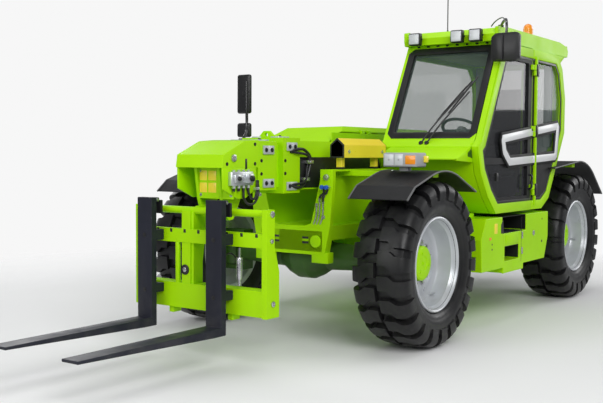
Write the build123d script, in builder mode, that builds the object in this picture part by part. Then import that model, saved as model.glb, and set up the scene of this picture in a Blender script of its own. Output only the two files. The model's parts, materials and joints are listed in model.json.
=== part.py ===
from build123d import *
import os
from math import cos, pi, radians, sin, sqrt

os.makedirs("parts", exist_ok=True)

# The machine stands on z = 0, x points forward, y to the driver's left, and all sizes are millimetres.
# Whole machine
front_reach = 2560
rear_reach = 3600
wheelbase = 2900
track = 1850
side_reach = 1250
front_x = (rear_reach - front_reach) / 2
rear_x = front_x - wheelbase
tail_x = front_x - rear_reach

# Clearances
move_gap = 5
seat_gap = 0.3
pin_gap = 0.1

# Tyres and rims
tyre_radius = 590
tyre_width = 400
tread_width = 300
lug_count = 22
lug_height = 28
lug_reach = 68
lug_end_inset = 6
lug_middle_gap = 12
rim_flange_radius = 334
rim_seat_radius = 305
rim_width = 330
rim_wall = 12
disc_depth = 150
disc_thickness = 16

# Hubs
hub_radius = 125
hub_depth = 40
hub_flange_radius = 170
hub_back = 60
spindle_radius = 50
spindle_length = 50

# Axles and knuckles
kingpin_inset = 165
kingpin_y = track / 2 - kingpin_inset
yoke_height = 160
yoke_arm = 35
yoke_half = 60
yoke_plate = 40
beam_radius = 85
beam_root_radius = 105
housing_radius = 180
housing_half = 60
knuckle_radius = 70
knuckle_drum_radius = 95
kingpin_radius = 25
steer_arm = 200
steer_arm_inset = 20
steer_arm_thickness = 30
steer_rod_radius = 18
steer_rod_drop = 85
steer_eye_radius = 25
steer_eye_half = 22
steer_barrel_radius = 35
steer_barrel_half = 180

# Chassis
rail_outer = 300
rail_thickness = 30
floor_top = 830
floor_thickness = 30
belly_bottom = 500
belly_thickness = 12
axle_arch_top = 725
bulkhead_x = front_x + 250
bulkhead_thickness = 40
trough_back = front_x - 620
trough_top = 1245
post_foot = 180
post_head = 260
post_width = 110
wall_thickness = 14
tower_inner = 200
tower_thickness = 30
tower_front = front_x - 2760
tail_plate_x = front_x - 3450
outrigger_xs = [front_x - 1000, front_x - 2000]
outrigger_width = 100
outrigger_top = 860

# Boom and its pivots
pivot_x = front_x - 3150
pivot_z = 1370
pivot_pin_radius = 40
pivot_hub_radius = 90
boom_width = 330
boom_top = 1450
boom_bottom = 1100
boom_wall = 12
boom_front = front_x + 600
collar_length = 200
collar_rise = 20
mid_width = 280
mid_height = 300
mid_wall = 10
mid_back = front_x - 2550
mid_collar_front = front_x + 850
mid_collar_length = 210
inner_width = 236
inner_height = 256
inner_wall = 10
inner_back = front_x - 2250
lug_peak = 1520
lug_hole_radius = 14
lug_hole_edge = 28
lug_front = boom_front - 45
lug_thickness = 25

# Boom head
head_width = 400
head_front = front_x + 1280
head_back = front_x + 900
head_top = 1450
head_bottom = 1265
head_brow = head_bottom + 85
head_ridge = front_x + 1050
cheek_y = 85
cheek_thickness = 25
cover_front = front_x + 1170
tilt_x = front_x + 1080
tilt_z = 970
tilt_pin_radius = 25

# Lift cylinder
lift_base_x = front_x - 2618
lift_base_z = 646
lift_eye_x = front_x - 1337
lift_eye_z = 943
lift_eye_radius = 45
lift_barrel_radius = 60
lift_barrel_length = 1130
lift_rod_radius = 35
lift_rod_back = 1190
lift_lug_gap = 52
lift_lug_thickness = 20
lift_pin_radius = 25

# Carriage and forks
carriage_half = 565
carriage_plate = 40
carriage_top = 1010
carriage_bottom = 330
carriage_front = front_x + 1285
carriage_depth_top = 80
carriage_depth_bottom = 130
top_bar_radius = 24
mid_bar_low = 770
mid_bar_high = 860
low_beam_top = 500
beam_depth = 110
fork_y = [230, -370]
fork_width = 130
fork_thickness = 50
fork_face_x = front_x + 1400
fork_top = 1065
fork_floor = 265
fork_heel = 55
fork_tip_thickness = 18

# Fenders
fender_inner = 660
fender_outer = 1120
fender_thickness = 8
front_fender_radius = 656
front_fender_x = front_x - 30
rear_fender_radius = 712

# Cab
cab_right = 190
cab_left = side_reach - 200
cab_skin = 45
cab_floor = 890
cab_roof_z = 2265
cab_belt = 1420
door_rear_x = front_x - 1800
post_rear_x = front_x - 1865
glass = 6
glass_inset = 15
roof_top = 2385
hinge_x = front_x - 1822
hinge_y = cab_left + 18
hinge_radius = 14
hinge_heights = [1060, 1560, 2080]

# Side box and engine side
box_inner = 650
box_outer = 1080
box_top = 860
bay_inner = rail_outer
bay_outer = 1050
bay_front = front_x - 760
bay_back = front_x - 2170
bay_bottom = 450
bay_top = 1010
bay_wall = 10
bonnet_front = front_x - 700
bonnet_back = front_x - 2600
bonnet_inner = 325
bonnet_outer = 1060
bonnet_top = 1600
bonnet_skin = 12
bonnet_edge = bay_top + move_gap
bonnet_rear_edge = 1335
bonnet_hinge_z = 1560
bonnet_hinge_radius = 12
bonnet_knuckle = 50
hinge_pin_radius = 6
bonnet_hinge_xs = [bonnet_back + 350, bonnet_front - 650]


def block(x, y, z, mode=Mode.ADD):
    """A box between two values on each axis."""
    with Locations(((x[0] + x[1]) / 2, (y[0] + y[1]) / 2, (z[0] + z[1]) / 2)):
        Box(abs(x[1] - x[0]), abs(y[1] - y[0]), abs(z[1] - z[0]), mode=mode)


def side_plate(points, y, mode=Mode.ADD):
    """An outline seen from the side, (x, z), between two values of y."""
    with BuildSketch(Plane.XZ.offset(-max(y))) as outline:
        with BuildLine():
            Polyline(*points, close=True)
        make_face()
    extrude(outline.sketch, amount=abs(y[1] - y[0]), mode=mode)


def cross_plate(points, x, mode=Mode.ADD):
    """An outline seen from the front, (y, z), between two values of x."""
    with BuildSketch(Plane.YZ.offset(min(x))) as outline:
        with BuildLine():
            Polyline(*points, close=True)
        make_face()
    extrude(outline.sketch, amount=abs(x[1] - x[0]), mode=mode)


def floor_plate(points, z, mode=Mode.ADD):
    """An outline seen from above, (x, y), between two values of z."""
    with BuildSketch(Plane.XY.offset(min(z))) as outline:
        with BuildLine():
            Polyline(*points, close=True)
        make_face()
    extrude(outline.sketch, amount=abs(z[1] - z[0]), mode=mode)


def rod(start, end, radius, mode=Mode.ADD):
    """A round bar between two points."""
    run = Vector(*end) - Vector(*start)
    with BuildSketch(Plane(origin=start, z_dir=run)) as section:
        Circle(radius)
    extrude(section.sketch, amount=run.length, mode=mode)


def save(piece, name):
    """Names a finished piece and writes it."""
    piece.part.label = name
    export_step(piece.part, f"parts/{name}.step")


def mirrored(points):
    """An outline's right half from its left half, for a shape that is the same on both sides."""
    return points + [(-y, z) for y, z in reversed(points)]


# Wheels
ends = {"front": front_x, "rear": rear_x}
sides = {"left": 1, "right": -1}
disc_face = rim_width / 2 - disc_depth
disc_back = disc_face - disc_thickness
hub_face = rim_width / 2 - hub_depth


def wheel_plane(x, side):
    """A plane across a wheel: the first axis points outboard, the second is the radius."""
    return Plane(origin=(x, side * track / 2, tyre_radius), x_dir=(0, side, 0), z_dir=(side, 0, 0))


def wheel_axis(x, side):
    return Axis((x, side * track / 2, tyre_radius), (0, 1, 0))


# A tyre's side from the lugs' ends to its bore, and its two tread lines, each as (distance across, radius)
tyre_side = [
    (tyre_width / 2 - lug_end_inset, tyre_radius - lug_reach),
    (tyre_width / 2, (tyre_radius + rim_flange_radius) / 2 - 10),
    (rim_width / 2 - rim_wall - seat_gap, rim_flange_radius + seat_gap),
    (rim_width / 2 - rim_wall - seat_gap, rim_seat_radius + seat_gap),
]
tread_lug = [(lug_middle_gap / 2, tyre_radius), (tread_width / 2, tyre_radius - 2), tyre_side[0]]
tread_root = [(lug_middle_gap / 2, tyre_radius - lug_height), (tread_width / 2, tyre_radius - lug_height)]
lug_turn = pi / lug_count


def tyre_point(x, side, spot, corner):
    """The point of a tyre's section at one of its corners, with the flat between two corners at the section's radius."""
    across, radius = spot
    turn = (corner - 0.5) * lug_turn - pi / 2
    reach = radius / cos(lug_turn / 2)
    return (x + reach * cos(turn), side * track / 2 + across, tyre_radius + reach * sin(turn))


def tyre_strip(x, side, spots, corner):
    """A flat face of a tyre's section line, from one of its corners to the next."""
    far = [tyre_point(x, side, spot, corner + 1) for spot in reversed(spots)]
    return [tyre_point(x, side, spot, corner) for spot in spots] + far


def tyre_faces(x, side):
    """The flat faces of a tyre with lugs: the lugs of its two halves stand on every other facet, in turn."""
    outlines = []
    for corner in range(2 * lug_count):
        raised = 1 if corner % 2 == 0 else -1
        lug = [(raised * across, radius) for across, radius in tread_lug]
        root = [(-raised * across, radius) for across, radius in tread_root]
        lug_foot = (raised * tread_root[0][0], tread_root[0][1])
        bore = (tyre_side[-1], (-tyre_side[-1][0], tyre_side[-1][1]))
        strips = [lug[0:2], lug[1:3], [lug[0], lug_foot], [lug_foot] + root,
                  [root[-1], (-raised * tyre_side[0][0], tyre_side[0][1])], bore]
        for half in (1, -1):
            line = [(half * across, radius) for across, radius in tyre_side]
            strips += [list(pair) for pair in zip(line, line[1:])]
            wall = [(half * across, radius) for across, radius in tread_lug + tread_root[::-1]]
            outlines.append([tyre_point(x, side, spot, corner) for spot in wall])
        outlines += [tyre_strip(x, side, spots, corner) for spots in strips]
    return [Face(Wire.make_polygon(outline)) for outline in outlines]


rim_profile = [
    (rim_width / 2, rim_flange_radius),
    (rim_width / 2 - rim_wall, rim_flange_radius),
    (rim_width / 2 - rim_wall, rim_seat_radius),
    (rim_wall - rim_width / 2, rim_seat_radius),
    (rim_wall - rim_width / 2, rim_flange_radius),
    (-rim_width / 2, rim_flange_radius),
    (-rim_width / 2, rim_seat_radius - rim_wall),
    (disc_back, rim_seat_radius - rim_wall),
    (disc_back, hub_radius + seat_gap),
    (disc_face, hub_radius + seat_gap),
    (disc_face, rim_seat_radius - rim_wall),
    (rim_width / 2, rim_seat_radius - rim_wall),
]
hub_bore = spindle_radius + pin_gap
bore_end = spindle_length + move_gap - hub_back
hub_profile = [
    (-hub_back, hub_bore),
    (-hub_back, hub_flange_radius),
    (disc_back - seat_gap, hub_flange_radius),
    (disc_back - seat_gap, hub_radius),
    (hub_face - 15, hub_radius),
    (hub_face, hub_radius - 15),
    (hub_face, 0),
    (bore_end, 0),
    (bore_end, hub_bore),
]

for end, x in ends.items():
    for side_name, side in sides.items():
        with BuildPart() as tyre:
            add(Solid(Shell(tyre_faces(x, side))))
        save(tyre, f"tyre_{end}_{side_name}")

        with BuildPart() as rim:
            with BuildSketch(wheel_plane(x, side)):
                with BuildLine():
                    Polyline(*rim_profile, close=True)
                make_face()
            revolve(axis=wheel_axis(x, side))
        save(rim, f"rim_{end}_{side_name}")

        with BuildPart() as hub:
            with BuildSketch(wheel_plane(x, side)):
                with BuildLine():
                    Polyline(*hub_profile, close=True)
                make_face()
            revolve(axis=wheel_axis(x, side))
        save(hub, f"hub_{end}_{side_name}")


# Axles, with the steering cylinder's barrel behind each
yoke_inner = yoke_height - yoke_arm
yoke_back = kingpin_y - yoke_half - 60 - yoke_plate
beam_half = [
    (housing_half, housing_radius),
    (housing_half + 70, housing_radius - 30),
    (housing_half + 140, beam_root_radius),
    (yoke_back + 10, beam_radius),
    (yoke_back + 10, 0),
]
for end, x in ends.items():
    with BuildPart() as axle:
        with BuildSketch(Plane(origin=(x, 0, tyre_radius), x_dir=(0, 1, 0), z_dir=(1, 0, 0))):
            with BuildLine():
                Polyline(*mirrored(beam_half), close=True)
            make_face()
        revolve(axis=Axis((x, 0, tyre_radius), (0, 1, 0)))
        block((x - 90, x + 90), (-120, 120), (tyre_radius, floor_top - floor_thickness - seat_gap))
        for side in sides.values():
            block((x - yoke_half, x + yoke_half), (side * yoke_back, side * (yoke_back + yoke_plate)),
                  (tyre_radius - yoke_height, tyre_radius + yoke_height))
            for low in (-yoke_height, yoke_inner):
                block((x - yoke_half, x + yoke_half), (side * yoke_back, side * kingpin_y),
                      (tyre_radius + low, tyre_radius + low + yoke_arm))
                rod((x, side * kingpin_y, tyre_radius + low), (x, side * kingpin_y, tyre_radius + low + yoke_arm),
                    yoke_half)
            rod((x, side * kingpin_y, tyre_radius - yoke_height - 1), (x, side * kingpin_y, tyre_radius + yoke_height + 1),
                kingpin_radius + pin_gap, mode=Mode.SUBTRACT)
            block((x - steer_arm, x - 60), (side * 90, side * 150),
                  (tyre_radius - steer_rod_drop - 25, tyre_radius - steer_rod_drop + 45))
        rod_z = tyre_radius - steer_rod_drop
        rod((x - steer_arm, -steer_barrel_half, rod_z), (x - steer_arm, steer_barrel_half, rod_z), steer_barrel_radius)
        rod((x - steer_arm, -track / 2, rod_z), (x - steer_arm, track / 2, rod_z), steer_rod_radius + pin_gap,
            mode=Mode.SUBTRACT)
    save(axle, f"{end}_axle")

    eye_y = kingpin_y - steer_arm_inset
    with BuildPart() as steer_rod:
        rod((x - steer_arm, 5 - eye_y, rod_z), (x - steer_arm, eye_y - 5, rod_z), steer_rod_radius)
        for side in sides.values():
            rod((x - steer_arm, side * eye_y, rod_z - steer_eye_half),
                (x - steer_arm, side * eye_y, rod_z + steer_eye_half), steer_eye_radius)
    save(steer_rod, f"{end}_steer_rod")

# Knuckles, one inside each yoke, with the spindle that the hub turns on
knuckle_half = yoke_inner - move_gap
arm_low = tyre_radius - steer_rod_drop + steer_eye_half + move_gap
for end, x in ends.items():
    for side_name, side in sides.items():
        pin_y = side * kingpin_y
        hub_back_y = side * (track / 2 - hub_back)
        with BuildPart() as knuckle:
            rod((x, pin_y, tyre_radius - knuckle_half), (x, pin_y, tyre_radius + knuckle_half), knuckle_radius)
            rod((x, pin_y, tyre_radius - yoke_height), (x, pin_y, tyre_radius + yoke_height), kingpin_radius)
            rod((x, pin_y, tyre_radius), (x, hub_back_y - side * move_gap, tyre_radius), knuckle_drum_radius)
            rod((x, pin_y, tyre_radius), (x, hub_back_y + side * spindle_length, tyre_radius), spindle_radius)
            arm_y = pin_y - side * steer_arm_inset
            floor_plate([(x - 40, pin_y - 40), (x - 40, pin_y + 40), (x - steer_arm, arm_y + steer_eye_radius),
                         (x - steer_arm, arm_y - steer_eye_radius)], (arm_low, arm_low + steer_arm_thickness))
            rod((x - steer_arm, arm_y, arm_low), (x - steer_arm, arm_y, arm_low + steer_arm_thickness),
                steer_eye_radius)
        save(knuckle, f"knuckle_{end}_{side_name}")


# Chassis: two rails, floor plates over the axles, the bulkhead with the boom's trough, and the boom's towers
rail_outline = [
    (bulkhead_x - bulkhead_thickness, 620), (bulkhead_x - bulkhead_thickness, floor_top),
    (tail_plate_x, floor_top), (tail_plate_x, 620), (rear_x - 330, 620), (rear_x - 270, axle_arch_top),
    (rear_x + 160, axle_arch_top), (rear_x + 260, belly_bottom), (front_x - 370, belly_bottom),
    (front_x - 280, axle_arch_top), (front_x + 150, axle_arch_top), (front_x + 180, 620),
]
post_outline = [
    (0, 620), (rail_outer, 620), (post_head + 90, 850), (post_head + post_width, 1170),
    (post_head + post_width, trough_top), (post_head, trough_top), (post_head, 1170), (post_foot, 850),
    (120, floor_top), (0, floor_top),
]
trough_wall = [
    (post_foot, floor_top - 10), (post_head, 1170), (post_head, trough_top), (post_head + post_width, trough_top),
    (post_head + post_width, trough_top - wall_thickness), (post_head + wall_thickness, trough_top - wall_thickness),
    (post_head + wall_thickness, 1170), (post_foot + wall_thickness, floor_top - 10),
]
tower_outline = [
    (tower_front, floor_top - 5), (tail_plate_x, floor_top - 5), (tail_plate_x + 40, 1200),
    (pivot_x - 110, pivot_z), (pivot_x - 78, pivot_z + 78), (pivot_x, pivot_z + 110),
    (pivot_x + 78, pivot_z + 78), (rear_x + 60, 1310), (tower_front, 1150),
]
fender_bar_low = 1197
fender_bar_half = 40


def fender_under(radius):
    """The height just below a fender's sheet, at the edge of the bar that carries it."""
    return tyre_radius + sqrt((radius - fender_thickness) ** 2 - fender_bar_half ** 2) - seat_gap


front_fender_under = fender_under(front_fender_radius)
rear_fender_under = fender_under(rear_fender_radius)
rail_inner = rail_outer - rail_thickness
with BuildPart() as front_bulkhead:
    for side in sides.values():
        cross_plate([(side * y, z) for y, z in post_outline], (bulkhead_x - bulkhead_thickness, bulkhead_x))
        cross_plate([(side * y, z) for y, z in trough_wall], (trough_back, bulkhead_x - bulkhead_thickness))
        block((front_fender_x - fender_bar_half, front_fender_x + fender_bar_half),
              (side * (post_head + 5), side * (fender_outer - 70)), (fender_bar_low, front_fender_under))
    block((trough_back, bulkhead_x - bulkhead_thickness + 5), (-rail_inner, rail_inner),
          (floor_top - floor_thickness, floor_top))
save(front_bulkhead, "front_bulkhead")

with BuildPart() as chassis_frame:
    for side in sides.values():
        side_plate(rail_outline, (side * rail_inner, side * rail_outer))
        side_plate(tower_outline, (side * tower_inner, side * (tower_inner + tower_thickness)))
        block((rear_x - fender_bar_half, rear_x + fender_bar_half), (side * (tower_inner + 5), side * (fender_outer - 70)),
              (rear_fender_under - 50, rear_fender_under))
        side_plate([(lift_base_x - 75, belly_bottom + 5), (lift_base_x + 75, belly_bottom + 5),
                    (lift_base_x + 50, lift_base_z + 45), (lift_base_x - 50, lift_base_z + 45)],
                   (side * lift_lug_gap, side * (lift_lug_gap + lift_lug_thickness)))
    inner = rail_inner + 5
    block((tail_plate_x, rear_x + 210), (-inner, inner), (floor_top - floor_thickness, floor_top))
    block((lift_base_x - 75, front_x - 370), (-inner, inner), (belly_bottom, belly_bottom + belly_thickness))
    block((front_x - 960, front_x - 930), (-inner, inner), (belly_bottom, 780))
    block((tail_plate_x - 30, tail_plate_x + 5), (-rail_outer, rail_outer), (620, 1150))
    rod((pivot_x, -tower_inner - tower_thickness - 20, pivot_z), (pivot_x, tower_inner + tower_thickness + 20, pivot_z),
        pivot_pin_radius)
    rod((lift_base_x, -lift_lug_gap - lift_lug_thickness - 10, lift_base_z),
        (lift_base_x, lift_lug_gap + lift_lug_thickness + 10, lift_base_z), lift_pin_radius)
    for x in outrigger_xs:
        block((x - outrigger_width / 2, x + outrigger_width / 2), (rail_outer - 5, box_inner - seat_gap),
              (outrigger_top - 100, outrigger_top))
        rod((x, 450, outrigger_top - 5), (x, 450, cab_floor - seat_gap), 45)
save(chassis_frame, "chassis_frame")


# Fenders: an arc over the wheel with a straight flap at each end
def moved_in(points, first, depth, side):
    """A flap's points moved towards the wheel by depth, with mitred corners. The flap starts at first."""
    chain = [first] + points
    moved = []
    for i in range(1, len(chain)):
        before = (chain[i] - chain[i - 1]).normalized()
        after = before if i == len(points) else (chain[i + 1] - chain[i]).normalized()
        normals = [Vector(way.Y, -way.X) * side for way in (before, after)]
        moved.append(chain[i] + (normals[0] + normals[1]) * (depth / (1 + normals[0].dot(normals[1]))))
    return moved


def fender_outline(centre, radius, start, finish, front_flap, rear_flap):
    """A bent sheet's section: an arc over the wheel, and at each end a flap through points from the centre."""
    flaps = []
    for points, angle in ((front_flap, start), (rear_flap, finish)):
        first = Vector(*centre) + Vector(cos(radians(angle)), sin(radians(angle))) * radius
        flaps.append((first, [Vector(*centre) + Vector(*point) for point in points]))
    with BuildSketch(Plane.XZ.offset(-fender_outer)) as sheet:
        with BuildLine():
            ends = []
            for depth in (0, fender_thickness):
                arc = CenterArc(centre, radius - depth, start, finish - start)
                front = moved_in(flaps[0][1], flaps[0][0], depth, 1)
                rear = moved_in(flaps[1][1], flaps[1][0], depth, -1)
                Polyline(arc.position_at(0), *front)
                Polyline(arc.position_at(1), *rear)
                ends.append((front[-1], rear[-1]))
            for outer, inner in zip(*ends):
                Line(outer, inner)
        make_face()
    return sheet.sketch


def fender_pair(x, radius, start, finish, front_flap, rear_flap):
    """A left fender and its mirror image."""
    sheet = fender_outline((x, tyre_radius), radius, start, finish, front_flap, rear_flap)
    with BuildPart() as fender:
        extrude(sheet, amount=fender_outer - fender_inner)
        mirror(about=Plane.XZ)
    return fender


front_flap = [(430, 555), (535, 470)]
front_tail_flap = [(-524, 496)]
front_fenders = fender_pair(front_fender_x, front_fender_radius, 74, 112, front_flap, front_tail_flap)
save(front_fenders, "front_fenders")

cab_tail = front_x - 2440
with BuildPart() as rear_fenders:
    add(fender_pair(rear_x, rear_fender_radius, 85, 126, [(690, 654)], [(-686, 382)]).part)
    block((cab_tail, rear_x + 800), (0, cab_left + move_gap), (1200, 1400), mode=Mode.SUBTRACT)
save(rear_fenders, "rear_fenders")


# Boom: three nested sections. The first hangs on the towers' pin and carries the cylinder's lugs.
def square_tube(x, width, z, wall):
    """A square tube along x, open at both ends."""
    block(x, (-width / 2, width / 2), z)
    block((x[0] - 1, x[1] + 1), (wall - width / 2, width / 2 - wall), (z[0] + wall, z[1] - wall), mode=Mode.SUBTRACT)


boom_z = (boom_top + boom_bottom) / 2
mid_z = (boom_z - mid_height / 2, boom_z + mid_height / 2)
inner_z = (boom_z - inner_height / 2, boom_z + inner_height / 2)
boom_back = pivot_x + 60
with BuildPart() as boom_outer:
    square_tube((boom_back, boom_front), boom_width, (boom_bottom, boom_top), boom_wall)
    collar_x = (boom_front - collar_length, boom_front)
    block(collar_x, (-boom_width / 2 - collar_rise, boom_width / 2 + collar_rise),
          (boom_bottom - collar_rise, boom_top + collar_rise))
    block((collar_x[0] - 1, boom_front + 1), (-mid_width / 2 - seat_gap, mid_width / 2 + seat_gap),
          (mid_z[0] - seat_gap, mid_z[1] + seat_gap), mode=Mode.SUBTRACT)
    cross_plate([(-90, boom_top + 5), (90, boom_top + 5), (25, lug_peak), (-25, lug_peak)],
                (lug_front - lug_thickness, lug_front))
    lug_hole_z = lug_peak - lug_hole_edge
    rod((lug_front - lug_thickness - 1, 0, lug_hole_z), (lug_front + 1, 0, lug_hole_z), lug_hole_radius,
        mode=Mode.SUBTRACT)
    hub_y = tower_inner - move_gap
    rod((pivot_x, -hub_y, pivot_z), (pivot_x, hub_y, pivot_z), pivot_hub_radius)
    side_plate([(pivot_x - 60, pivot_z + 60), (pivot_x - 60, pivot_z - 60), (boom_back + 160, boom_bottom + 5),
                (boom_back + 160, boom_top - 5), (pivot_x, pivot_z + 75)], (-hub_y + 20, hub_y - 20))
    rod((pivot_x, -hub_y - 1, pivot_z), (pivot_x, hub_y + 1, pivot_z), pivot_pin_radius + pin_gap, mode=Mode.SUBTRACT)
    for side in sides.values():
        side_plate([(lift_eye_x - 110, boom_bottom + 3), (lift_eye_x + 110, boom_bottom + 3),
                    (lift_eye_x + 50, lift_eye_z - 20), (lift_eye_x, lift_eye_z - 50), (lift_eye_x - 50, lift_eye_z - 20)],
                   (side * lift_lug_gap, side * (lift_lug_gap + lift_lug_thickness)))
save(boom_outer, "boom_outer")

with BuildPart() as boom_mid:
    square_tube((mid_back, mid_collar_front), mid_width, mid_z, mid_wall)
    pad_x = (mid_back, mid_back + 120)
    block(pad_x, (boom_wall + seat_gap - boom_width / 2, boom_width / 2 - boom_wall - seat_gap),
          (boom_bottom + boom_wall + seat_gap, boom_top - boom_wall - seat_gap))
    collar_x = (mid_collar_front - mid_collar_length, mid_collar_front)
    block(collar_x, (-mid_width / 2 - collar_rise, mid_width / 2 + collar_rise),
          (mid_z[0] - collar_rise, mid_z[1] + collar_rise))
    block((mid_back - 1, mid_collar_front - mid_collar_length - 1), (mid_wall - mid_width / 2, mid_width / 2 - mid_wall),
          (mid_z[0] + mid_wall, mid_z[1] - mid_wall), mode=Mode.SUBTRACT)
    block((mid_collar_front - mid_collar_length - 2, mid_collar_front + 1),
          (-inner_width / 2 - seat_gap, inner_width / 2 + seat_gap), (inner_z[0] - seat_gap, inner_z[1] + seat_gap),
          mode=Mode.SUBTRACT)
save(boom_mid, "boom_mid")

# The innermost section, with the head welded to its end
cheek_outline = [
    (head_back, inner_z[0] + 20), (head_back, head_top), (head_ridge, head_top - 10), (cover_front, head_brow),
    (cover_front + 30, head_bottom), (cover_front, 1060), (tilt_x + 55, tilt_z - 20), (tilt_x + 20, tilt_z - 55),
    (tilt_x - 25, tilt_z - 50), (tilt_x - 55, tilt_z), (head_back + 60, 1090),
]
with BuildPart() as boom_inner:
    square_tube((inner_back, head_back + 60), inner_width, inner_z, inner_wall)
    block((inner_back, inner_back + 120), (mid_wall + seat_gap - mid_width / 2, mid_width / 2 - mid_wall - seat_gap),
          (mid_z[0] + mid_wall + seat_gap, mid_z[1] - mid_wall - seat_gap))
    block((inner_back - 1, inner_back + 121), (inner_wall - inner_width / 2, inner_width / 2 - inner_wall),
          (inner_z[0] + inner_wall, inner_z[1] - inner_wall), mode=Mode.SUBTRACT)
    side_plate([(head_back, head_bottom), (head_back, head_top), (head_ridge, head_top - 10),
                (head_front - 15, head_brow), (head_front, head_bottom)], (-head_width / 2, head_width / 2))
    for side in sides.values():
        side_plate(cheek_outline, (side * cheek_y, side * (cheek_y + cheek_thickness)))
    side_plate([(cover_front - 12, head_bottom + 5), (cover_front - 12, 1060), (cover_front, 1060),
                (cover_front, head_bottom + 5)], (-cheek_y - 5, head_width / 2))
    rod((tilt_x, -cheek_y - cheek_thickness - 8, tilt_z), (tilt_x, cheek_y + cheek_thickness + 8, tilt_z),
        tilt_pin_radius)
save(boom_inner, "boom_inner")

# Lift cylinder: its barrel turns on the chassis, its rod's eye meets the boom's lugs
lift_run = Vector(lift_eye_x - lift_base_x, 0, lift_eye_z - lift_base_z)
lift_way = lift_run.normalized()
lift_base = Vector(lift_base_x, 0, lift_base_z)
lift_eye = Vector(lift_eye_x, 0, lift_eye_z)
eye_half = lift_lug_gap - move_gap
barrel_end = lift_base + lift_way * lift_barrel_length
with BuildPart() as lift_barrel:
    rod(lift_base, lift_base + lift_way * 95, eye_half - 2)
    rod(lift_base + lift_way * 85, barrel_end, lift_barrel_radius)
    rod((lift_base_x, -eye_half, lift_base_z), (lift_base_x, eye_half, lift_base_z), lift_barrel_radius)
    rod(lift_base + lift_way * 75, barrel_end + lift_way, lift_rod_radius + seat_gap, mode=Mode.SUBTRACT)
    rod((lift_base_x, -eye_half - 1, lift_base_z), (lift_base_x, eye_half + 1, lift_base_z),
        lift_pin_radius + pin_gap, mode=Mode.SUBTRACT)
save(lift_barrel, "lift_barrel")

with BuildPart() as lift_rod:
    rod(lift_eye - lift_way * lift_rod_back, lift_eye, lift_rod_radius)
    rod((lift_eye_x, -eye_half, lift_eye_z), (lift_eye_x, eye_half, lift_eye_z), lift_eye_radius)
    rod((lift_eye_x, -eye_half - 1, lift_eye_z), (lift_eye_x, eye_half + 1, lift_eye_z), lift_pin_radius,
        mode=Mode.SUBTRACT)
save(lift_rod, "lift_rod")


# Carriage: two side plates, three bars, ribs in the middle and the pivot's lugs
bar_x = carriage_front - 50
plate_outline = [
    (carriage_front, carriage_bottom), (carriage_front, carriage_top), (carriage_front - carriage_depth_top, carriage_top),
    (carriage_front - carriage_depth_top, 780), (carriage_front - carriage_depth_bottom, 620),
    (carriage_front - carriage_depth_bottom, carriage_bottom),
]
rib_outline = [
    (carriage_front - 20, carriage_bottom + 10), (carriage_front - 20, carriage_top - 40), (bar_x - 20, carriage_top),
    (tilt_x, tilt_z + 48), (tilt_x - 44, tilt_z), (tilt_x + 10, tilt_z - 50), (tilt_x + 60, 860),
    (carriage_front - beam_depth, 640), (carriage_front - beam_depth, carriage_bottom + 10),
]
rib_y = cheek_y - move_gap
with BuildPart() as carriage:
    for side in sides.values():
        side_plate(plate_outline, (side * (carriage_half - carriage_plate), side * carriage_half))
        side_plate(rib_outline, (side * (rib_y - 25), side * rib_y))
        block((carriage_front - 30, carriage_front - 10), (side * (rib_y - 5), side * (rib_y + 70)),
              (low_beam_top - 5, carriage_top - 30))
    rod((bar_x, -carriage_half + 5, carriage_top - 28), (bar_x, carriage_half - 5, carriage_top - 28), top_bar_radius)
    block((carriage_front - 45, carriage_front - 5), (-carriage_half + 5, carriage_half - 5), (mid_bar_low, mid_bar_high))
    block((carriage_front - beam_depth, carriage_front - 5), (-carriage_half + 5, carriage_half - 5),
          (carriage_bottom + 5, low_beam_top))
    rod((tilt_x, -rib_y - 1, tilt_z), (tilt_x, rib_y + 1, tilt_z), tilt_pin_radius + pin_gap, mode=Mode.SUBTRACT)
save(carriage, "carriage")

# Forks, hooked over the carriage's bars
fork_tip_x = front_x + front_reach
fork_outline = [
    (fork_face_x, fork_top), (fork_face_x - fork_thickness, fork_top), (fork_face_x - fork_thickness, fork_floor - fork_heel),
    (fork_face_x + 60, fork_floor - fork_heel), (fork_tip_x, fork_floor - fork_tip_thickness), (fork_tip_x, fork_floor),
    (fork_face_x, fork_floor),
]
fork_back = fork_face_x - fork_thickness
with BuildPart() as forks:
    for y in fork_y:
        side_plate(fork_outline, (y - fork_width / 2, y + fork_width / 2))
        for z in ((mid_bar_low + 10, mid_bar_high - 10), (low_beam_top - 70, low_beam_top - 10)):
            block((carriage_front - 5 + seat_gap, fork_back + 5), (y - fork_width / 2, y + fork_width / 2), z)
save(forks, "forks")


# Cab: a hollow shell with its windows cut, a roof, a door and panes
cab_outline = [
    (front_x - 700, cab_belt), (front_x - 760, 1215), (front_x - 900, 1030), (front_x - 1060, cab_floor),
    (front_x - 2050, cab_floor), (front_x - 2220, 975), (front_x - 2600, 1560), (front_x - 2605, 1880),
    (front_x - 2520, 2140), (front_x - 2400, cab_roof_z), (front_x - 1185, cab_roof_z), (front_x - 775, 1475),
]


def cab_section(inset, y, x_low=-9999, x_high=9999, z_low=0, z_high=9999, mode=Mode.ADD):
    """The cab's side outline, pulled in by inset and cut to a window of x and z, between two values of y."""
    with BuildSketch(Plane.XZ.offset(-max(y))) as outline:
        with BuildLine():
            Polyline(*cab_outline, close=True)
        make_face()
        if inset:
            offset(amount=-inset, kind=Kind.INTERSECTION)
        with Locations(((x_low + x_high) / 2, (z_low + z_high) / 2)):
            Rectangle(x_high - x_low, z_high - z_low, mode=Mode.INTERSECT)
    extrude(outline.sketch, amount=abs(y[1] - y[0]), mode=mode)


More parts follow.
